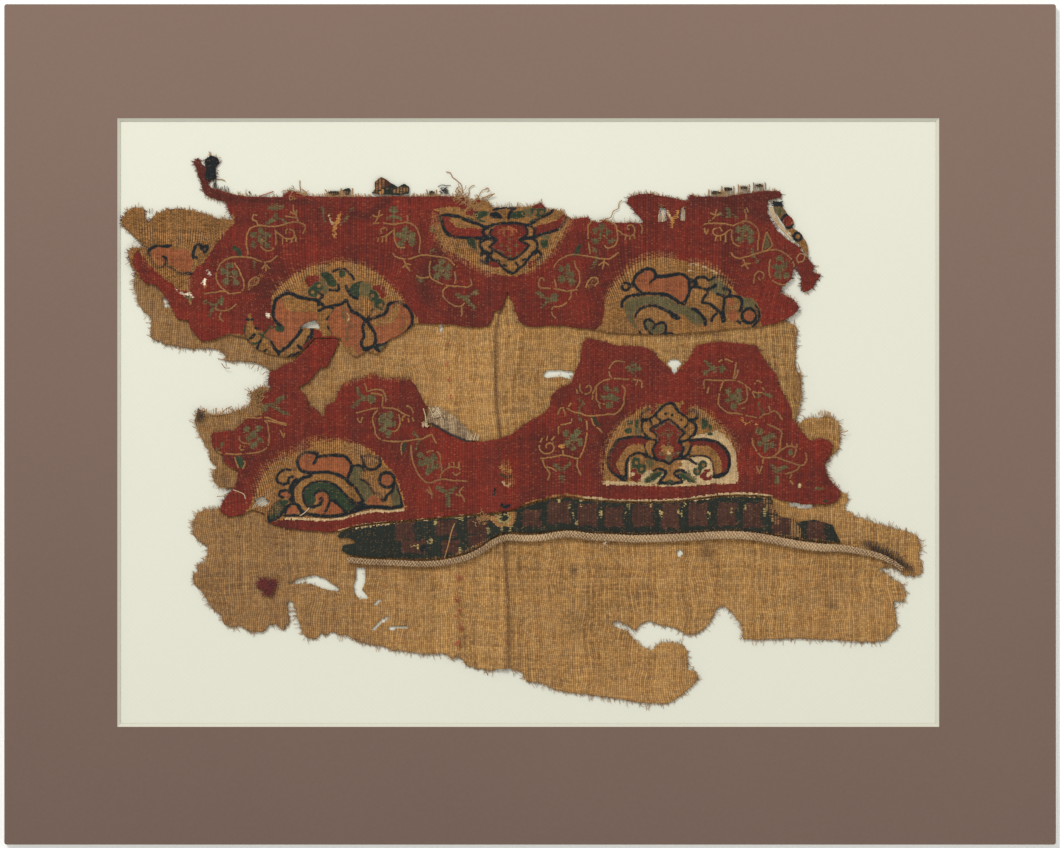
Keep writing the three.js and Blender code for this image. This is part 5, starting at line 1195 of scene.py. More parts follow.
UPPER_LEAVES = [
    ("deep", "", "80,108 98,108 117,110", 6.5),
    ("deep", "", "92,102 104,104 114,100", 5.0),
    ("deep", "", "-141,108 -120,108 -104,107", 2.6),
    ("deep", "", "-86,102 -78,101 -70,108", 4.0),
    ("deep", "", "-160,129 -158,118 -152,111 -142,109", 5.0),
    ("deep", "", "-40,88 -52,70 -48,60", 6.0),
    ("deep", "", "34,78 30,70", 6.0),
    ("fill", "navy", "-157.6,128.4 -155,130.8 -150.5,129 -149.2,125.8 -151.5,125 -152,121 -151,120.5 "
        "-151.4,118 -155.5,117.6 -157.4,120 -156.4,123.5 -158,126", 0),
    # Left of the left arch.
    *rosette(-130, 89.5, "-133.5,91.5 -130,93.5 -126.8,91 -127,86.5 -133.5,86.8"),
    *rosette(-145, 72, "-148,74 -145.3,76.5 -142.3,73 -142,68.5 -147,69"),
    ("line", "olive", "-125.5,104.5 -122.6,104.4 -120,105", 1.9),
    ("line", "olive", "-122.5,106 -122.5,99", 1.9),
    ("line", "olive", "-127,97 -124.4,99 -122.5,99.4 -120,99 -118,97.5", 1.2),
    ("line", "green", "-142.8,85.3 -141,84 -140,82", 1.8),
    ("line", "olive", "-132.3,81 -133.4,78.6 -133,76.6 -133.5,75", 1.1),
    ("disc", "olive", "-149.5,59.3", 1.9),
    ("line", "olive", "-157,59.5 -154.6,58.8 -152,57", 1.7),
    ("line", "olive", "-155,52 -154.4,54.6 -153,56.5", 1.7),
    ("line", "olive", "-153.4,57 -150,58.6", 1.7),
    ("pale", "", "-127,53 -126.4,52.4", 1.6),
    ("worn", "", "-136,66 -133,69 -130,72", 1.6),
    # Small plants under the top edge.
    ("line", "olive", "-100.5,105 -99.8,101 -99,98", 1.0),
    ("line", "olive", "-86,105 -87.4,102 -89.4,99 -91,97", 1.0),
    ("line", "cream", "-97,101 -96.4,98.2 -94.6,96.4", 1.0),
    ("line", "gold", "-92.4,101 -92.8,98.2 -94.4,96.2 -94.5,91", 1.0),
    ("line", "cream", "66.4,103 67.4,100.4 68.8,98.6", 1.0),
    ("line", "gold", "71.4,103 70.6,100.6 68.9,98.8 68.8,95", 1.0),
    ("line", "olive", "63.4,105 64.4,101 65,99", 0.9),
    ("line", "olive", "75,105 73.8,101 73,99", 0.9),
    # Right of the left arch.
    *rosette(-60, 90, "-63,91.5 -60,94 -57,91.5 -56.5,88 -62.5,87"),
    *rosette(-42.6, 74.5, "-45.8,76 -42.6,78.2 -39.4,75.8 -40,71.6 -45.2,71.6"),
    ("disc", "olive", "-66,103.5", 2.1),
    ("line", "olive", "-66,103 -66,98.4", 1.5),
    ("line", "olive", "-69,99.3 -67.4,100 -66,99.8 -64.4,100 -62.5,99.3", 1.2),
    ("disc", "olive", "-46.6,94", 1.9),
    ("disc", "olive", "-47,84", 1.3),
    ("line", "olive", "-26,64.2 -28.6,62.4 -31.4,60.4", 1.8),
    ("line", "olive", "-35.4,62.4 -31.4,60.6 -27.4,56.6", 1.9),
    ("disc", "olive", "-53,69.8", 1.5),
    # Left of the right arch.
    *rosette(35, 91.4, "31.5,93.5 34.7,95.5 38,93 39,88.5 31.5,88.5"),
    *rosette(17, 72, "15,75 18,76 20,72.5 20,69 15,70"),
    ("line", "green", "24,86 23,84.4 22,82", 1.9),
    ("line", "olive", "31,85 32,82 31.8,78.5 29.5,75.5", 1.2),
    ("line", "olive", "4,63.6 6.6,61.4 9.6,59.8", 2.0),
    ("disc", "olive", "11.9,61.5", 1.9),
    ("line", "olive", "5.4,56.6 7.2,58.2 9,60.4", 1.9),
    ("worn", "", "28,66 31,70", 1.8),
    # Right of the right arch.
    *rosette(103.5, 91.5, "100.5,94 103.8,95 106.5,93 106.5,89 101,89.3"),
    *rosette(121.5, 75, "123.5,77.5 120.5,80 118.6,76 123.5,72 119.5,72"),
    ("disc", "olive", "95.4,103.6 96.2,101.6", 1.7),
    ("line", "olive", "92,101.4 94,100.2 96,100.6 98.4,101 100,100", 1.5),
    ("fill", "olive", "114.2,92 112.5,84 114.6,84.6 116.5,86", 0),
    ("line", "olive", "107.5,84 108,81 110,78.5", 1.2),
]
UPPER_PATTERN = UPPER_LEAVES + TONGUE + UPPER_LEFT_ARCH + UPPER_RIGHT_ARCH + HANGING_MOTIF

# Gold stems of the upper vines.
UPPER_STEMS = [
    # Left of the left arch.
    "-136,82 -137,88 -136.5,92 -134.5,95 -130,96 -124,95.5 -119,96.5 -114,97.8 -110,96.8 -108.5,95.5 "
        "-109.5,92",
    "-112,98 -113,101 -114.5,104", "-113,101 -116,102.5", "-112.6,99.6 -118.5,100.5",
    "-113,101 -112.5,103.5", "-114.3,103 -114.3,106",
    "-123,94 -122.8,91 -122.8,87 -125,84 -128,84 -130,86",
    "-123,93 -120,91 -118,89.7 -115,89.7 -113,91",
    "-118,92 -117.5,94 -115.5,94 -114,93 -113.8,90.5",
    "-119.5,87 -119.4,90", "-117.5,88 -117.4,90", "-115,87.8 -115,89.8", "-113.2,88 -113,90.6",
    "-131.5,96 -132,98 -134,99 -133.5,101 -131.5,101",
    "-150.5,76 -149,78 -145,80.3 -140,80.8 -135,80.5 -131,79 -128,78.3 -125,79 -122,81.5",
    "-128,78 -127.6,76 -127.5,74", "-129.6,75 -127.6,77", "-125.6,75 -127.6,77",
    "-150,76.5 -151.3,74 -151.5,71.5 -151.3,69.5 -149.5,66.5 -147,64.5",
    "-143,78 -141,75.5 -139.5,72 -138.3,69 -138.2,66 -139,64.5",
    "-157.5,63 -153,63.6 -147.5,64.3 -145,63 -139.5,63.8",
    "-136,66 -135.4,69 -133,71 -131,70 -132,67.6 -134,67",
    "-142,58 -144,56.2 -147.5,54.8 -151,55.3 -152.5,56.5", "-149,54 -150,51.5 -148,49.5",
    # Right of the left arch.
    "-76,97 -70,97 -66,96.5 -63,97 -59.5,97.5 -56,96 -54,93 -53,89 -53.5,84 -53.3,82.5",
    "-59,98 -59.3,101",
    "-65.5,95 -65.5,90 -64.5,87 -63,85.3 -60.5,85.3",
    "-66,94 -69,91.3 -72,90.3", "-71.5,92 -72,94 -70,94.8 -69,93.5",
    "-73.5,88 -73,90.2", "-71.5,87.8 -71.2,90.2", "-69.5,88 -69.4,90.8",
    "-75,97 -73.5,100 -72.5,103.5", "-76.4,101 -73.4,100", "-71,101.4 -73.2,100.2",
    "-66.5,83 -65,81 -62,80 -59,79.8 -56,80.5 -52,81.7 -45,81 -40,80 -37,77.5 -35,75.8",
    "-61,80 -59.5,76 -58,74", "-61.6,75.6 -60,77.4", "-57.4,77 -59.8,77.6",
    "-48,79 -48.6,75 -48,71 -45,69 -42,67.5 -38,66.8 -33,66.5 -30,66.3 -28,67.5",
    "-36.5,74 -36,70 -36.5,68", "-28.2,67.6 -28.6,70.4", "-55,71.8 -52.6,70.6 -49,71",
    "-39.4,66.8 -41.8,65 -42,62 -40,59.4 -36.6,57.2 -33.4,57 -31.6,58.6", "-33.2,57 -32.8,54.6 -33.2,52",
    # Left of the right arch.
    "28,97 28,92 28.2,88 28.8,84 29,82.3",
    "28,96 30,98 34,98.6 38,98 41.5,96 42,93 42.3,90 41.5,87 39.5,85.5 37,85.2 36,86.5",
    "42,94 45,91.7 48,91 50,91.5 50.5,94 49.5,96 47.5,96 46.8,94.5 48,94",
    "46,89 46.4,91.2", "48.3,89 48.4,91", "50.5,89.6 50.2,91.6",
    "53,97 54.2,95 54,92",
    "11.5,75.5 12,77 14,79.3 17,81 21,82 25,81.5 30,80.8 34,80 38,79.8 40,80.8 42.8,83",
    "36,80 35.5,77 34.8,75", "33,76.6 35.6,78.4", "38,76.8 35.8,78.4",
    "21.5,79 22,76 23.5,74 24,71 23.8,68 22.5,66 20.5,64.5",
    "5,65.8 10,65.6 14,65 17.5,64.3 19.8,64.5 23,65",
    "19.8,64.4 19.6,61.6 17.4,58.6 14,56.8 11.4,56.8 10.6,54.8 11,52.6 12.6,51.2",
    "11.8,70 12.5,67 13,65.5", "6.8,69 6.4,70.6 4.8,70.2 4.2,68 4.6,65.8",
    "27,66 28,69 31,71 33,69 31,66.6",
    # Right of the right arch.
    "97.5,94 97.3,91 98,88 99.5,86.5 101.5,86",
    "84,96.5 86,97 90,97 94,96.8 98,96 101,97.3 104.5,98 108,96.5 110,94 110.5,91 110,87 110,84",
    "104.3,98 104.5,101 103.8,103 104.5,104.5 105.5,102.5",
    "84,95 85,92 86,94", "86,98 88,99 89.5,101 90,104", "87,102 89.4,101",
    "92,101.6 89.8,100.8",
    "97,94.5 94,92 91,91 88.5,92 88.5,94 90.5,95 92,94.5 92.5,93",
    "92,88.5 92,91.2", "94.5,88 94.4,92", "89.5,88.5 90,91.2",
    "97,83 98.5,81 101,80 103,80.5 106,81.3 108,82 112,83.2 116,84.2 120,84 123,82.5 125.5,80.5 127,78.5 "
        "127.5,76",
    "103,80 104,77 105.5,75", "102,76 103.8,77.6", "106.6,77.6 104,77.4",
    "114.2,93 112.2,84 116.9,86.4 114.4,93",
    "116,80 115.4,75 116,71 118,68.8 121,67.5 123.5,67.3",
    "108,68 108.6,72 111,74 113,72 111.4,69.6 110,71",
]


# Finishes.
def card_finish():
    """The mat's facing paper, with the cream core showing on its bevel and edges."""
    finish = Finish("taupe_card", Roughness=0.9)
    fibre = finish.noise(0.9, detail=4.0, rough=0.7)
    cloud = finish.noise(0.012, detail=2.0)
    # Painted light: the paper colour is made lighter towards the top and a little towards the right; fibre and cloud
    # are the paper's own uneven tone.
    light = (finish.y * 0.0008 + finish.x * 0.00012) + (fibre - 0.5) * 0.16 + (cloud - 0.5) * 0.06 + 1.0
    paper = finish.shade(paint(126, 104, 93), light)
    core = finish.shade(paint(216, 214, 198), 1.0 + (fibre - 0.5) * 0.08)
    faced = (finish.z + (fibre - 0.5) * 0.08).ramp(3.66, 3.72)
    finish.colour(finish.blend(faced, core, paper))
    finish.roughness(0.93 - fibre * 0.1)
    finish.bump(fibre, 0.06, 0.5)
    return finish.material


def board_finish():
    """Cream board with a very faint linen texture."""
    finish = Finish("cream_linen_board", Roughness=0.85)
    thread = (finish.x * 2.6 + finish.noise(0.2) * 3.0).sine() * (finish.y * 2.6 + finish.noise(0.23) * 3.0).sine()
    fibre = finish.noise(0.7, detail=3.0)
    cloud = finish.noise(0.01)
    # Painted light: the board colour is a little lighter towards the top; thread, fibre and cloud are its own faint
    # texture and tone.
    light = 1.0 + finish.y * 0.0002 + thread * 0.008 + (fibre - 0.5) * 0.035 + (cloud - 0.5) * 0.03
    finish.colour(finish.shade(paint(229, 229, 213), light))
    finish.roughness(0.88 - fibre * 0.08)
    finish.bump(thread * 0.5 + fibre, 0.03, 0.4)
    return finish.material


def tapestry_finish(name, colours, base_dark, edge_noise=1.0):
    """Weft-faced tapestry: warps 1 mm apart under the weft, and a colour for every woven field."""
    finish = Finish(name, Roughness=0.95, Sheen_Weight=0.08, Sheen_Roughness=0.6)
    warp = finish.attribute("warp") + (finish.noise(0.3) - 0.5) * 0.5
    number = warp.floor()
    pass_row = (finish.y * 2.4 + finish.speckle(number) * 0.8)
    cell = finish.speckle(number, pass_row.floor())
    strand = finish.speckle(number)
    rib = (warp.part() - 0.5).size() * 2.0
    valley = rib ** 2.2
    fuzz = finish.noise(0.55, detail=3.0) - 0.5
    jitter = ((cell - 0.5) * 0.5 + (strand - 0.5) * 0.3 + fuzz * 0.9) * edge_noise
    worn = finish.attribute("worn")
    blotch = finish.noise((0.035, 0.05, 0.05), detail=3.0, rough=0.6)
    streak = finish.noise((0.05, 0.5, 0.1), detail=2.0)
    faded = finish.noise((0.9, 0.12, 0.1), detail=2.0)
    mix = (blotch * 0.55 + streak * 0.2 + faded * 0.25).ramp(0.36, 0.64)
    mix = mix.at_least(finish.attribute("deep"))
    colour = finish.blend(mix, colours["red"], base_dark)
    lean = ((finish.y * 0.15).part() - 0.5).size() * 7.0
    slanting = ((finish.x + lean) * 4.6).sine()
    far_left = (finish.x * -1.0).ramp(140.0, 152.0)
    for key in COLOUR_ORDER[1:]:
        loose = 2.3 if key in ("olive", "gold") else 1.0
        wide = 0.1 if key == "navy" else -0.16 if key == "olive" else 0.0
        inside = (finish.attribute(key) + jitter * loose + wide).ramp(-0.14, 0.14)
        tone = 1.0 + (streak - 0.5) * 0.7 + (blotch - 0.5) * 0.6 + (faded - 0.5) * 0.7
        if key == "tan":
            # Painted shade for the tan: lighter on the rib tops and darker in the grooves between the warp ribs, deeper
            # where worn; far_left and slanting are the tan's own darker colour and weft pattern at the far left.
            tone = tone - far_left * (0.13 + slanting * 0.16) - (valley - 0.3) * (0.1 + worn * 0.7)
            tone = tone + (cell - 0.5) * 0.3 - 0.07
        tint = finish.shade(colours[key], tone)
        colour = finish.blend(inside, colour, tint)
    pale = (finish.attribute("pale") + jitter * 2.0).ramp(-0.3, 0.3)
    colour = finish.blend(pale, colour, colours["pale"])
    bare = (worn * (0.4 + cell * 0.9) + (strand - 0.5) * 0.3 * worn).ramp(0.3, 0.9)
    colour = finish.blend(bare * (1.0 - valley) * 0.55, colour, colours["warp"])
    fleck = cell.ramp(0.9, 0.97) * (1.0 - valley) * 0.2
    colour = finish.blend(fleck, colour, colours["warp"])
    # Painted shade: the colour is darkened in the grooves between the warp ribs, more where worn; cell and strand give
    # each pass and warp its own tone.
    light = 1.14 - valley * (0.4 + worn * 0.4) + (cell - 0.5) * 0.44 + (strand - 0.5) * 0.26
    finish.colour(finish.shade(colour, light))
    finish.roughness(0.97 - cell * 0.1)
    finish.bump((1.0 - valley) + cell * 0.35, 0.22, 0.55)
    return finish.material


def ground_finish(name, light_tan, mid_tan, dark_tan):
    """Plain weave with slubs: warp and weft go over and under one another about every millimetre."""
    finish = Finish(name, Roughness=0.95, Sheen_Weight=0.1, Sheen_Roughness=0.6)
    sway_x = (finish.noise(0.05, detail=2.0) - 0.5) * 7.0
    sway_y = (finish.noise((0.045, 0.06, 0.05), detail=2.0) - 0.5) * 7.0
    warp = (finish.x + sway_x) * 1.02
    weft = (finish.y + sway_y) * 0.98
    over = (warp.floor() + weft.floor()) * 0.5
    parity = (over.part() * 2.0).floor() * 0.0 + (over.part() - 0.25).ramp(0.0, 0.02)
    warp_round = 1.0 - ((warp.part() - 0.5).size() * 2.0) ** 2.5
    weft_round = 1.0 - ((weft.part() - 0.5).size() * 2.0) ** 2.5
    cell = finish.speckle(warp.floor(), weft.floor())
    warp_shade = finish.speckle(warp.floor())
    weft_shade = finish.speckle(weft.floor(), 7.0)
    raised = parity * warp_round + (1.0 - parity) * weft_round
    pit = (1.0 - warp_round) * (1.0 - weft_round * 0.6)
    height = raised * 0.4 + warp_round * 0.4 + warp_round * weft_round * 0.2
    slub = finish.noise((0.14, 0.7, 0.2), detail=3.0)
    slub_up = finish.noise((0.7, 0.1, 0.2), detail=3.0)
    stain = finish.noise(0.02, detail=4.0, rough=0.6)
    tone = (stain * 0.7 + slub * 0.15 + slub_up * 0.15).ramp(0.36, 0.62)
    colour = finish.blend(tone, dark_tan, mid_tan)
    colour = finish.blend((cell * 0.3 + warp_shade * 0.45 + weft_shade * 0.25) * 0.8, colour, light_tan)
    brown = (finish.x * -1.0).ramp(40.0, 120.0) * 0.45 + (stain - 0.5).ramp(0.0, 0.3) * 0.3
    colour = finish.blend(brown, colour, paint(134, 98, 64))
    # The stain attribute holds the cloth's stain marks and a painted shade along the seam.
    stain_and_seam_shade = finish.attribute("stain")
    colour = finish.blend(stain_and_seam_shade * 0.8, colour, paint(56, 38, 30))
    bright = finish.x.ramp(-52.0, -36.0) * (1.0 - finish.x.ramp(-13.0, -9.0)) * 0.09
    # Painted shade: the cloth is darkened by place towards the far left and in the upper right.
    painted_shade_by_place = (finish.x * -1.0).ramp(60.0, 170.0) * 0.1 + finish.x.ramp(100.0, 125.0) * finish.y.ramp(-20.0, 20.0) * 0.12
    # Painted light and shade: raised threads are lightened and the pits between them darkened; a band left of the seam
    # is lightened by place; cell and the slubs are the cloth's own tone.
    light = 0.86 + height * 0.3 - pit * 0.75 + (cell - 0.5) * 0.26 + (slub - 0.5) * 0.3 + (slub_up - 0.5) * 0.5
    light = light + bright - painted_shade_by_place
    finish.colour(finish.shade(colour, light))
    finish.roughness(0.97 - cell * 0.08)
    finish.bump(height + cell * 0.3, 0.28, 0.6)
    return finish.material


def yarn_finish(name, light_colour, dark_colour, twist=1.6, strands=0.0):
    """Loose yarn, with a fine twist along it; strands sets how plainly slanting strands show."""
    finish = Finish(name, Roughness=0.95, Sheen_Weight=0.15, Sheen_Roughness=0.6)
    hair = finish.noise(1.7, detail=3.0)
    wander = finish.noise(0.06, detail=2.0)
    # Painted shade: for yarns with strands, light and dark diagonal stripes stand for the ridges and grooves of the
    # twisted strands.
    slant = ((finish.x + finish.y * 0.9 + wander * 6.0) * 3.7).sine() * strands
    tone = (hair * 0.6 + wander * 0.4 + slant).ramp(0.36, 0.64)
    finish.colour(finish.blend(tone, dark_colour, light_colour))
    finish.roughness(0.95 - hair * 0.1)
    finish.bump(hair, 0.08 * twist, 0.5)
    return finish.material


def floor_finish():
    """Plain pale floor."""
    finish = Finish("pale_floor", Roughness=1.0)
    finish.shader.inputs["Specular IOR Level"].default_value = 0.0
    grain = finish.noise(0.003)
    finish.colour(finish.shade((1.0, 1.0, 1.0, 1.0), 0.995 + (grain - 0.5) * 0.01))
    return finish.material


RED = {
    "red": paint(123, 40, 26), "tan": paint(138, 96, 51), "cream": paint(182, 154, 112), "pink": paint(138, 78, 46),
    "olive": paint(89, 80, 51), "green": paint(42, 56, 37), "gold": paint(160, 110, 56), "navy": paint(21, 27, 30),
    "pale": paint(226, 212, 184), "warp": paint(160, 112, 66),
}
PLUM = paint(83, 33, 25)

mat_card = card_finish()
cream_board = board_finish()
red_tapestry = tapestry_finish("red_weave", RED, PLUM)
tan_ground = ground_finish("tan_weave", paint(198, 153, 91), paint(156, 110, 60), paint(108, 72, 38))
CHECKS = {
    **RED, "red": paint(40, 43, 35), "pink": paint(70, 44, 34), "gold": paint(150, 130, 80), "tan": paint(154, 108, 62),
    "cream": paint(176, 150, 108),
}
dark_border = tapestry_finish("checked_weave", CHECKS, paint(31, 36, 29), edge_noise=1.4)


# The boards keep their CAD shape and get their finish.
for board_name, board_material in (("backing_board", cream_board), ("window_mat", mat_card)):
    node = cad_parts[board_name]
    for slot in node.material_slots:
        slot.material = board_material

floor_shape = bmesh.new()
bmesh.ops.create_grid(floor_shape, x_segments=8, y_segments=8, size=3.0)
floor_mesh = bpy.data.meshes.new("pale_floor")
floor_shape.to_mesh(floor_mesh)
floor_shape.free()
floor = finish_object("pale_floor", floor_mesh, floor_finish())


def make_sheet(name, node_name, pitch, thick, material, holes=(), rag=0.35, seed=1, lifted=True, paint_rows=None):
    outline = OUTLINES[node_name]
    cloth, points = weave_sheet(name, outline, pitch, holes, rag, seed)
    heights = CLOTH_FLOOR + relief(points) + (layer_lift(points) if lifted else 0)
    for hole in holes:
        pressed = np.exp(-((distance(points, hole["line"]) / 3.5) ** 2))
        heights += (BOARD_FACE + 0.06 - heights) * pressed
    raise_sheet(cloth, heights, thick)
    mesh = bpy.data.meshes.new(name)
    cloth.to_mesh(mesh)
    cloth.free()
    mesh.polygons.foreach_set("use_smooth", [True] * len(mesh.polygons))
    piece = finish_object(name, mesh, material)
    close_shell(piece, thick)
    if paint_rows is not None:
        weaving = Weaving(points)
        weaving.follow(paint_rows)
        weaving.keep(mesh)
        store(mesh, "warp", warp_count(points))
    else:
        # The stain attribute: stain marks of the ground cloth, and a painted shade along the seam.
        store(mesh, "stain", stain_marks_and_seam_shade(points))
    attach(piece, "root")
    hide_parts(node_name)
    return piece


def stain_marks_and_seam_shade(points):
    """Dark and brown stain marks on the ground cloth, and a painted shade in a soft band along the seam."""
    total = np.zeros(len(points))
    for x, y, reach, depth in STAINS + STREAK:
        total = np.maximum(total, depth * np.exp(-((np.hypot(points[:, 0] - x, points[:, 1] - y) / reach) ** 2)))
    # Painted shade: a soft dark band just right of the seam line, for the groove of the joint.
    from_seam = points[:, 0] - np.interp(points[:, 1], SEAM[:, 1], SEAM[:, 0])
    return np.maximum(total, 0.4 * np.exp(-(((from_seam - 0.4) / 1.3) ** 2)))


STAINS = (
    (21, -71, 1.6, 0.9), (85.3, -61.8, 3.6, 0.8), (22.7, -95, 6, 0.35), (145.7, -87.9, 2.2, 0.7), (146, -76, 6, 0.2),
    (-150, -26, 5, 0.4), (-160, 2, 3, 0.7), (-54, -74, 4.5, 0.3), (-82, -66, 4, 0.25), (140, -60, 5, 0.2), (-37, 41, 4.5, 0.25),
)

LEFT_HOLES = (
    {"line": [(-74.8, -86.8), (-73, -85.2)], "width": 1.8},
    {"line": [(-76, -99), (-72.5, -96), (-69, -93.4)], "width": 1.4},
    {"line": [(-67.5, -98.4), (-60, -98)], "width": 1.5},
    {"line": [(-43.2, 45.6), (-42.8, 48.2)], "width": 1.4},
)
RIGHT_HOLES = (
    {"line": [(71.9, -63.4), (72.7, -61.6)], "width": 2.2},
    {"line": [(126.5, -38.7), (131, -39.4), (135.7, -39.8)], "width": 2.2},
    {"line": [(68.2, 29.4), (71.2, 29.6)], "width": 3.2},
    {"line": [(69.6, 27.6), (69.5, 24.8)], "width": 2.2},
)
STREAK = tuple((162 + 2 * k, -57.5 - 1.2 * k, 2.4, 0.85) for k in range(12))

ground_left = make_sheet(
    "left_ground_cloth", "ground_cloth_left", 0.935, GROUND_SHEET, tan_ground, LEFT_HOLES, rag=0.5, seed=11, lifted=False,
)
ground_right = make_sheet(
    "right_ground_cloth", "ground_cloth_right", 0.935, GROUND_SHEET, tan_ground, RIGHT_HOLES, rag=0.5, seed=12, lifted=False,
)
upper_band = make_sheet(
    "upper_tapestry_band", "tapestry_upper_band", 0.68, TAPESTRY_SHEET, red_tapestry, seed=13, paint_rows=UPPER_PATTERN,
)
lower_band = make_sheet(
    "lower_tapestry_band", "tapestry_lower_band", 0.65, TAPESTRY_SHEET, red_tapestry, seed=14, paint_rows=LOWER_PATTERN,
)
border = make_sheet(
    "checked_border_band", "checked_border", 0.52, TAPESTRY_SHEET, dark_border, seed=15, paint_rows=check_pattern(),
)


# Threads: fine round yarns that are drawn as curves and turned into meshes.
def make_yarns(name, lines, radius, material, on=None, sides=0):
    """lines are lists of (x, y, z, relative radius) in millimetres."""
    drawing = bpy.data.curves.new(name, "CURVE")
    drawing.dimensions = "3D"
    drawing.bevel_depth = radius * MM
    drawing.bevel_resolution = sides
    drawing.use_fill_caps = True
    for line in lines:
        spline = drawing.splines.new("POLY")
        spline.points.add(len(line) - 1)
        for knot, (x, y, z, relative) in zip(spline.points, line):
            knot.co = (x * MM, y * MM, z * MM, 1.0)
            knot.radius = relative
    holder = bpy.data.objects.new(name + "_drawing", drawing)
    bpy.context.collection.objects.link(holder)
    ready = holder.evaluated_get(bpy.context.evaluated_depsgraph_get())
    mesh = bpy.data.meshes.new_from_object(ready)
    mesh.name = name
    bpy.data.objects.remove(holder)
    mesh.polygons.foreach_set("use_smooth", [True] * len(mesh.polygons))
    piece = finish_object(name, mesh, material)
    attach(piece, "root")
    return piece


def top_of(points, thick, lifted=True):
    points = np.asarray(points, float)
    return CLOTH_FLOOR + relief(points) + (layer_lift(points) if lifted else 0) + thick


def lying(points, thick, lift, lifted=True, smooth=4, relative=1.0):
    """A smooth yarn through given points, lying on a sheet of that thickness."""
    line = curve(points, steps=smooth)
    heights = top_of(line, thick, lifted) + lift
    return [(x, y, z, relative) for (x, y), z in zip(line, heights)]


def woven_stems(name, stems, radius, seed):
    """Gold vine stems, thick and thin by chance and faded away in places."""
    draw = random.Random(seed)
    lines = []
    for stem in stems:
        whole = lying(stem, TAPESTRY_SHEET, 0.02, smooth=6)
        piece = []
        for x, y, z, _ in whole:
            if draw.random() < 0.018 and len(piece) > 2:
                lines.append(piece)
                piece = []
            else:
                piece.append((x + draw.uniform(-0.14, 0.14), y + draw.uniform(-0.14, 0.14), z,
                    draw.uniform(0.65, 1.25)))
        if len(piece) > 1:
            lines.append(piece)
    return make_yarns(name, lines, radius, gold_yarn)


OPEN_WINDOWS = ((-88, -86, -76, -67), (-108, -84, -90, -72), (58, 95, 78, 107), (4, 20, 22, 28), (-136, -42,
    -122, -31), (-114, 44, -100, 52), (40, 98, 55, 104))


def skip(root, outward, draw):
    """Few frays in the small windows, and few where the cloth's edge lies on other cloth."""
    x, y = root
    if any(x0 < x < x1 and y0 < y < y1 for x0, y0, x1, y1 in OPEN_WINDOWS):
        return draw.random() < 0.85
    beyond = root + 1.6 * outward
    over = OUTLINES["ground_cloth_left"].holds(*beyond) or OUTLINES["ground_cloth_right"].holds(*beyond)
    return over and draw.random() < 0.72


def frays(names, thick, seed, spacing, length, ways, lifted=True, reach=None, radius_range=(0.6, 1.2)):
    """Thread ends along the edges of sheets: warps where the edge runs across, wefts where it runs up."""
    draw = random.Random(seed)
    lines = {way: [] for way in ways}
    for name in names:
        outline = OUTLINES[name]
        for start, way in zip(outline.starts, outline.ways):
            long = math.hypot(*way)
            outward = np.array((way[1], -way[0])) / max(long, 1e-6)
            middle = start + way / 2
            if outline.holds(*(middle + 0.25 * outward)):
                outward = -outward
            count = long / spacing
            for _ in range(int(count) + (draw.random() < count % 1)):
                root = start + way * draw.random()
                if reach and not reach(root):
                    continue
                kind = "warp" if abs(outward[1]) > abs(outward[0]) * draw.uniform(0.7, 1.3) else "weft"
                if kind not in lines or skip(root, outward, draw):
                    continue
                straight = np.array((0, math.copysign(1, outward[1])) if kind == "warp" else
                                    (math.copysign(1, outward[0]), 0))
                aim = straight * 0.75 + outward * 0.35
                angle = math.atan2(aim[1], aim[0]) + draw.gauss(0, 0.28)
                far = min(length * draw.expovariate(1.0) + 0.35, length * 4)
                bend = draw.gauss(0, 0.35)
                place = root - outward * draw.uniform(0.2, 1.2)
                line = []
                size = draw.uniform(*radius_range)
                steps = 4
                for step in range(steps):
                    line.append((*place, size * (1 - 0.4 * step / steps)))
                    angle += bend / steps + draw.gauss(0, 0.12)
                    stride = (far + 0.7) / (steps - 1)
                    place = place + stride * np.array((math.cos(angle), math.sin(angle)))
                lines[kind].append((line, draw.uniform(0.25, 0.8)))
    raised = {}
    for kind, some in lines.items():
        raised[kind] = []
        if not some:
            continue
        flat = np.array([[point[:2] for point in line] for line, _ in some]).reshape(-1, 2)
        heights = top_of(flat, 0, lifted).reshape(len(some), -1)
        for (line, level), row in zip(some, heights):
            drop = np.linspace(0, 1, len(line)) ** 1.5 * (row[0] + thick * level - BOARD_FACE - 0.25) * 0.55
            raised[kind].append([
                (x, y, max(row[0] + thick * level - fall, BOARD_FACE + 0.12), relative)
                for (x, y, relative), fall in zip(line, drop)
            ])
    return raised


tan_yarn = yarn_finish("tan_yarn", paint(182, 138, 84), paint(128, 88, 48))
gold_yarn = yarn_finish("gold_yarn", paint(170, 120, 60), paint(120, 76, 38))
red_yarn = yarn_finish("red_yarn", paint(124, 42, 34), paint(84, 28, 25))
dark_yarn = yarn_finish("dark_yarn", paint(58, 46, 42), paint(26, 24, 26))
pale_yarn = yarn_finish("pale_yarn", paint(222, 202, 168), paint(176, 144, 104))

upper_vines = woven_stems("upper_vine_threads", UPPER_STEMS, 0.43, 31)
lower_vines = woven_stems("lower_vine_threads", LOWER_STEMS, 0.43, 32)

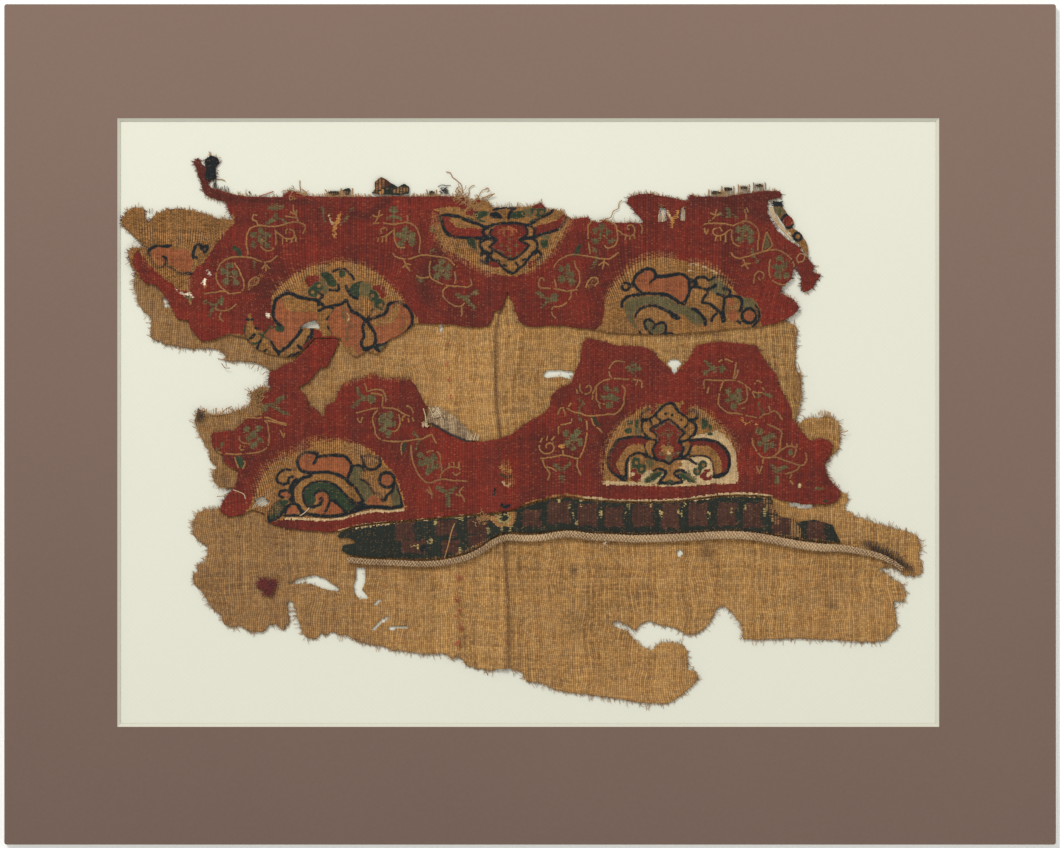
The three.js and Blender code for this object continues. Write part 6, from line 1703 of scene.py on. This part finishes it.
ground_frays = frays(["ground_cloth_left", "ground_cloth_right"], GROUND_SHEET, 41, 0.85, 0.8, ("warp",
    "weft"),
                     lifted=False)
ground_fringe = make_yarns("ground_frays", ground_frays["warp"] + ground_frays["weft"], 0.13, tan_yarn)
upper_frays = frays(["tapestry_upper_band"], TAPESTRY_SHEET, 42, 0.75, 0.6, ("warp", "weft"))
upper_warps = make_yarns("upper_band_warp_ends", upper_frays["warp"], 0.14, tan_yarn)
upper_wefts = make_yarns("upper_band_weft_ends", upper_frays["weft"], 0.16, red_yarn)
lower_frays = frays(["tapestry_lower_band"], TAPESTRY_SHEET, 43, 0.8, 0.5, ("warp", "weft"))
lower_warps = make_yarns("lower_band_warp_ends", lower_frays["warp"], 0.14, red_yarn)
lower_wefts = make_yarns("lower_band_weft_ends", lower_frays["weft"], 0.16, red_yarn)

# The seam between the two ground cloths: two sewing yarns lie in the joint.
seam_yarn = yarn_finish("seam_yarn", paint(150, 108, 60), paint(92, 60, 32), strands=0.1)
seam_lines = [
    lying([(x + side, y) for x, y in SEAM[1:-2]], GROUND_SHEET, -0.3, lifted=False, relative=size)
    for side, size in ((-0.25, 1.0), (0.4, 0.8))
]
seam_sewing = make_yarns("ground_seam_yarns", seam_lines, 0.5, seam_yarn)

# The edge cord: three beaded strands twined together, sewn down along the foot of the border.
CORD_ROUTE = (
    "-88,-65.4 -77,-66.4 -65,-66.8 -55,-67.4 -46,-67.2 -38,-66 -30,-64 -23,-60.6 -17,-56.6 "
    "-11,-54.6 -3,-55 6,-54.6 13,-53.4 20,-53 29,-54.2 38,-54.6 50,-55.2 62,-55 75,-54.4 88,-53.6 98,-53.4 "
    "108,-54.1 118,-55.8 128,-57.8 140,-59.4 150,-59.8 160,-61.4 168,-63.4 174,-66 180,-70"
)


def twined(route, pitch, sideways, upward, strands, steps_a_turn=12, radius=0.8):
    """Strands wound round a route, as lists of points."""
    middle = curve(route, steps=8)
    way = np.gradient(middle, axis=0)
    run = np.concatenate(([0], np.cumsum(np.hypot(*np.diff(middle, axis=0).T))))
    along = np.arange(0, run[-1], pitch / steps_a_turn)
    x = np.interp(along, run, middle[:, 0])
    y = np.interp(along, run, middle[:, 1])
    heading = np.arctan2(np.interp(along, run, way[:, 1]), np.interp(along, run, way[:, 0]))
    base = top_of(np.column_stack((x, y)), TAPESTRY_SHEET)
    grow = 0.82 + 0.3 * np.clip((x + 40) / 120, 0, 1) - 0.45 * np.clip((x - 140) / 40, 0, 1)
    lines = []
    for strand in range(strands):
        phase = 2 * math.pi * (along / pitch + strand / strands)
        side = np.sin(phase) * sideways * grow
        rise = (np.cos(phase) * upward + radius * 0.9) * grow
        size = grow * (1 + 0.26 * np.sin(2 * math.pi * along / 1.3 + strand * 2.1))
        lines.append(list(zip(x - side * np.sin(heading), y + side * np.cos(heading), base + rise, size)))
    return lines


cord_finish = yarn_finish("cord_twist", paint(206, 176, 134), paint(120, 88, 58), twist=2.4, strands=0.075)
cord = make_yarns("edge_cord_strands", twined(CORD_ROUTE, 3.8, 1.25, 0.6, 3), 0.58, cord_finish, sides=1)
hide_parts("edge_cord")


# Remains of other weaving along the edges.
LUNETTE_SCRAP_PATTERN = [
    ("cut", "tan", "110,75 140,75 140,112 110,112", 0),
    ("cut", "navy", "115,107.8 123,108 123,105.2 115,105.4", 0),
    ("fill", "olive", "117.2,103 118.4,105 121.6,104.8 123.6,102.4 122,100.8 119,100.8", 0),
    ("disc", "pink", "124.4,98.2", 3.0),
    ("fill", "red", "122.4,98.4 123.4,100.8 126,101 126.8,98.4 125.4,96 123,96.2", 0),
    ("line", "navy", "124.6,101.6 122.4,100.4 121.2,98 122,96 124,95 126.4,95.6 127.4,96.6", 1.2),
    ("ring", "navy", "129.4,90.7", 1.9),
    ("pale", "", "117.4,103 119.4,99 122,95.4 125,91.6", 0.9),
]
LARGE_SCRAP_PATTERN = [
    ("fill", "pink", "-76,113.4 -75.6,117 -72,120.4 -68.6,118.4 -66.6,115.4 -70,114.6 -73,113.4", 0),
    ("worn", "", "-75,113 -73.6,116.4 -71,118.6", 3.2),
    ("worn", "", "-66,113 -60,113.4", 1.4),
    ("line", "tan", "-71.4,113.4 -71.6,111", 1.2),
]
SMALL_SCRAPS = ((-94.8, 111.9, 5.8), (-88.5, 112.6, 3.6), (-47.5, 111.9, 2.8), (89.8, 112, 5), (95.6, 113.6,
    4),
                (103.3, 114.4, 3.8), (110.8, 115.4, 4))

grey_mend = ground_finish("grey_mend", paint(184, 156, 118), paint(124, 96, 68), paint(66, 50, 38))
lunette_scrap = make_sheet("lunette_scrap_cloth", "lunette_scrap", 0.42, TAPESTRY_SHEET, red_tapestry,
    seed=21,
                           paint_rows=LUNETTE_SCRAP_PATTERN)
mended_spot = make_sheet("mending_patch_cloth", "mending_patch", 0.45, TAPESTRY_SHEET, grey_mend, seed=22)
large_scrap = make_sheet("border_scrap_large_cloth", "border_scrap_large", 0.42, TAPESTRY_SHEET,
    dark_border, seed=23,
                         paint_rows=LARGE_SCRAP_PATTERN)
small_scraps = [
    make_sheet(f"border_scrap_{i + 1}_cloth", f"border_scrap_{i + 1}", 0.36, TAPESTRY_SHEET, dark_border,
        seed=24 + i,
               rag=0.3, paint_rows=[("worn", "", [(x - wide, y - 1.2), (x + wide, y - 1.2)], 1.5)])
    for i, (x, y, wide) in enumerate(SMALL_SCRAPS)
]


# Loose yarns and bare warps, each row one yarn: (size, level above the board's cloth, points).
def warps_under_scraps():
    draw = random.Random(51)
    rows = []
    for x, y, wide in SMALL_SCRAPS:
        count = int(wide / 0.95)
        for step in range(count + 1):
            at = x - wide / 2 + 0.3 + step * (wide - 0.6) / count
            rows.append((draw.uniform(0.8, 1.2), 0.4, [(at, y + 1.1), (at + draw.gauss(0, 0.1), y - 1.2),
                                                       (at, y - 3.4)]))
        for side in (-1, 1):
            at = x + side * (wide / 2 + 0.9)
            rows.append((1.5, 0.3, [(at, y - 3), (at + draw.gauss(0, 0.2), y), (at + draw.gauss(0, 0.2),
                y + 1.6)]))
    for step in range(60):
        at = -100 + step + draw.gauss(0, 0.2)
        if not -77 < at < -58:
            high = draw.uniform(0.4, 2.0)
            rows.append((draw.uniform(0.7, 1.5), 0.3, [(at, 108.8), (at + draw.gauss(0, 0.12),
                110 + high * 0.5),
                                                       (at + draw.gauss(0, 0.25), 110 + high)]))
    return rows


def fluff(x, y, reach, count, seed, size=1.0, long=3.0, level=0.7):
    """Short curled fibres about a spot."""
    draw = random.Random(seed)
    rows = []
    for _ in range(count):
        at = [x + draw.gauss(0, reach * 0.45), y + draw.gauss(0, reach * 0.45)]
        angle = draw.uniform(0, 2 * math.pi)
        turn = draw.gauss(0, 0.9)
        points = [tuple(at)]
        for _ in range(4):
            angle += turn
            at = [at[0] + math.cos(angle) * long / 4, at[1] + math.sin(angle) * long / 4]
            points.append(tuple(at))
        rows.append((size * draw.uniform(0.6, 1.2), level * draw.uniform(0.6, 1.6), points))
    return rows


def comb(start, end, count, long, seed, size=1.0, level=0.9, lean=0.0):
    """Short upright threads side by side along a line."""
    draw = random.Random(seed)
    rows = []
    for step in range(count):
        t = (step + draw.uniform(0, 0.6)) / count
        x = start[0] + (end[0] - start[0]) * t
        y = start[1] + (end[1] - start[1]) * t
        high = long * draw.uniform(0.5, 1.2)
        shift = lean * high + draw.gauss(0, 0.2)
        rows.append((size * draw.uniform(0.7, 1.3), level, [(x, y), (x + shift * 0.5, y + high * 0.5),
            (x + shift, y + high)]))
    return rows


TAN_YARNS = [
    (1.3, 0.2, "-40.6,122 -38.6,121.6 -37.6,119.6 -36,118.4 -34.4,117 -33.2,115.6 -32.6,112"),
    (1.2, 0.3, "-31,109 -29.4,111.6 -29.6,113.6 -28.4,115 -26.8,115.6"),
    (1.2, 0.3, "-27,108 -25,110 -24,112 -22.4,113.4 -20,113.8"),
    (1.6, 0.4, "-26,107 -23,109 -20.4,110.4 -18.6,111 -17,111.4"),
    (1.4, 0.5, "-25,107.4 -22,109.8 -20,109.8 -18,110.8"),
    (1.3, 0.5, "-24,106 -21,108.6 -20.4,108.2 -19.4,106.4 -18.6,104.6"),
    (1.4, 0.6, "-36,109.6 -34.6,112.4 -35,114 -33.6,112 -32.4,110.4 -31,111.6"),
    (1.2, 0.5, "-119,110.4 -117,112.4 -115.4,113 -113.6,112.2 -112,110.4"),
    (1.2, 0.5, "-118,110 -116.4,111.6 -114.6,111.8 -113.4,110.2"),
    (1.2, 0.4, "-110.4,110.6 -109.6,112 -108,111.6 -107.4,110.4"),
    (1.2, 0.2, "-111.5,110.5 -111,113 -111.3,115.5 -111.3,118"),
    (1.3, 0.2, "-151.4,118.4 -149,118.4 -147.4,117.6"),
    (1.3, 0.3, "35,97.6 36.6,99.4 39,100 40.2,103 42.6,104.4 43,107 44.5,108.4"),
    (1.8, 0.4, "133.6,81 134,85.6 132.6,88.6 131.6,90.4 130,93"),
    (2.2, 0.9, "129.8,77.8 128.8,80 130.4,82.4 132.6,81.6 132,79 130,78.4"),
    (1.0, 0.2, "136,75 138.4,76.4 139.6,76.6"),
    (1.2, 0.3, "-157.6,8 -156,5.6 -153,4.6 -149.6,5 -147,7.4 -144,8.8"),
    (1.0, 0.3, "-152,-30.8 -146,-30.2 -142,-29.4"),
    (1.0, 0.3, "-151.4,-34.8 -147,-34.4 -144,-33"),
    (1.1, 0.4, "-149,29.5 -147.4,27.4 -145,27.2"), (1.1, 0.3, "-134.6,26.8 -133,29 -131,29.6"),
    (1.0, 0.3, "-131.6,25.6 -131,28 -130,29.4"), (1.0, 0.3, "-129.4,24 -127.6,25.4 -126,25.2"),
    (1.9, 0.9, "-36.4,-47.8 -38,-52 -39.4,-58 -41.3,-64.5"),
    *fluff(-27, 106.6, 5.5, 60, 61, 1.0, 4.0), *fluff(-34, 110.4, 3.4, 26, 62, 1.0, 3.4),
    *fluff(-116, 110.8, 3, 16, 63), *fluff(-109, 110.8, 2, 8, 64), *fluff(-23, -45.4, 3.4, 22, 65, 1.1, 2.4,
        1.1),
    *fluff(-132, 12, 4, 40, 66, 0.9, 3.4, 0.8), *fluff(-133, 16, 3, 24, 67, 0.9, 3), *fluff(-4, 104.6, 2, 8,
        68),
    *comb((-158, 4), (-134, 6), 26, 3.2, 69, 1.0, 0.6), *comb((8, 103), (17, 102), 12, 2.0, 70, 1.0, 0.6,
        0.2),
    *comb((116, -41), (127, -43), 12, 2.4, 71, 1.1, 1.0), *comb((126, -54), (131, -54.6), 7, 7, 72, 1.1, 1.0),
    *comb((-134, 97.2), (-196, 103), 30, 2.4, 73, 1.0, 0.5),
    *warps_under_scraps(), *comb((-36, -63.4), (-24, -58.6), 5, 1.8, 84, 0.8, 1.0, 0.2),
    (1.2, 0.3, "129.6,29 130.8,24 131,18 130.6,12 129.2,6"),
    (1.0, 0.3, "128.8,27 129.8,20 129.6,13 128.8,7"), *comb((139, 4.4), (148, 2.6), 13, 2.4, 99, 1.0, 0.5),
    (1.2, 0.3, "148.4,-3 151,-3.8 153.6,-3"), (1.0, 0.3, "148.6,-4 151,-5 152.4,-5.4"),
]
PALE_YARNS = [
    (1.3, 0.9, "-143.5,-31.6 -140,-32.8 -138,-34 -137.5,-36"),
    (0.8, 0.2, "-137.4,109.6 -137.6,112 -137.2,114"),
    (1.4, 0.9, "-111.2,-44.2 -108.8,-42.6 -106.6,-40.2"),
    (1.0, 0.2, "-134,-39 -130,-36.4 -124,-35"), (1.0, 0.2, "-133,-36.4 -129,-34.4 -124.4,-32.6"),
    (0.9, 0.2, "-132,-40.6 -128,-39 -123.6,-38.4"),
    *[(1.3, 0.5, [(115.4 + k * 0.45, 105), (116.8 + k * 0.5, 100.6), (119.2 + k * 0.45, 96.8),
        (122.6 + k * 0.3, 93.2),
                  (126 + k * 0.2, 89.6)]) for k in range(5)],
    (1.6, 0.9, "-51.6,7.8 -50.6,4.4 -50.2,1 -49.6,-0.4"),
    (1.6, 0.9, "-49,8.4 -47.6,6 -46.4,3"),
    *fluff(-45, 5.8, 1.9, 60, 81, 1.2, 2.0, 1.3), *fluff(-50.6, -0.6, 1.2, 22, 82, 1.2, 1.5, 1.2),
    *comb((61.9, 97.8), (65.2, 97.8), 6, 5.8, 87, 1.0, 0.9), *comb((72.8, 98.4), (74.9, 98.4), 4, 5.6, 88,
        1.0, 0.9),
    *comb((-134, -40.4), (-126, -39.4), 9, 2.4, 89, 0.7, 0.9, 0.5),
    *comb((-31, -7.6), (-24.6, -7.8), 10, 3.2, 83, 1.1, 0.95, 0.25),
    *fluff(36.6, -57.4, 1.2, 9, 86, 0.9, 1.8, 1.2),
]
DARK_YARNS = [
    (2.6, 0.85, "-47.6,0.8 -45.4,-0.7 -42,-2.6 -39.4,-4.2 -37,-5.4 -33,-7.2 -29.4,-8.2"),
    (1.0, 0.8, "-43,4 -41.4,2.6 -41,-1"), (1.0, 0.8, "-46.6,2.6 -44,3 -41.6,3.6"),
    (1.2, 0.6, "-160,8 -160.6,5 -160.4,2 -158.6,2.4 -158,4"),
    (1.0, 0.3, "-44.6,114.8 -42.6,115.8 -40.4,115.4 -38.4,115.6"),
    (1.0, 0.3, "-43.6,113.8 -41.6,114.4 -39.6,113"), *fluff(-41, 112.6, 1.6, 16, 91, 1.0, 2.2, 0.5),
    *fluff(-135.5, 112, 0.5, 6, 92, 1.0, 0.9, 0.3), *fluff(-159, 4, 2, 14, 93, 1.0, 2.2, 0.5),
    *comb((162, -58.6), (184, -70.6), 34, 2.4, 94, 1.1, 0.95, 0.3), *comb((166, -59), (180, -67), 14, 3.2,
        95, 1.0, 0.9, 0.3),
    *comb((-152.6, 114.2), (-145, 112), 9, 2.4, 96, 0.8, 0.4), *comb((-152.8, 114.4), (-151.6, 114.2), 4,
        4.4, 97, 0.8, 0.4),
    (1.4, 0.5, "116.4,106.6 119,107 122.4,107.8"), (1.4, 0.6, "116.8,105.8 120,106 122.6,105.6"),
]
ORANGE_YARNS = [
    *[row for x, y in ((-34, -74), (-35.6, -84), (-34, -91), (-33.6, -98), (-34.4, -105.6)) for row in
      fluff(x, y, 1.7, 8, int(900 - y), 0.9, 1.5, 0.9)],
    *[(1.9, 0.8, [(x, y - 1.1), (x - 0.4, y), (x + 0.2, y + 1.2)]) for x, y in (
        (-39.6, 38.4), (-39.8, 28.8), (-39, 21.6), (-38.2, 13.2), (-34, -74), (-34.4, -85), (-34, -90),
            (-33.8, -97),
        (-34.2, -105))],
    (1.4, 0.2, "-131,110.2 -127.4,111.4 -124,112.6"),
]
RED_KNOT = [*fluff(-129, -77.2, 2.2, 60, 98, 1.7, 2.6, 0.8), *fluff(-126, -79.8, 2.4, 70, 100, 1.7, 2.6, 0.8),
            *fluff(-124.2, -76.6, 1.3, 24, 101, 1.5, 2.2, 0.8)]


def lay_yarns(name, rows, radius, material):
    lines = []
    for size, level, points in rows:
        lines.append(lying(points, 0, level, relative=size, smooth=3))
    return make_yarns(name, lines, radius, material)


loose_tan = lay_yarns("loose_tan_yarns", TAN_YARNS, 0.17, tan_yarn)
loose_pale = lay_yarns("loose_pale_yarns", PALE_YARNS, 0.17, pale_yarn)
red_knot = lay_yarns("red_knot_yarns", RED_KNOT, 0.18, red_yarn)
loose_dark = lay_yarns("loose_dark_yarns", DARK_YARNS, 0.17, dark_yarn)
loose_red = lay_yarns("loose_red_yarns", ORANGE_YARNS, 0.18, yarn_finish("rust_yarn", paint(186, 94, 50),
    paint(136, 56, 36)))
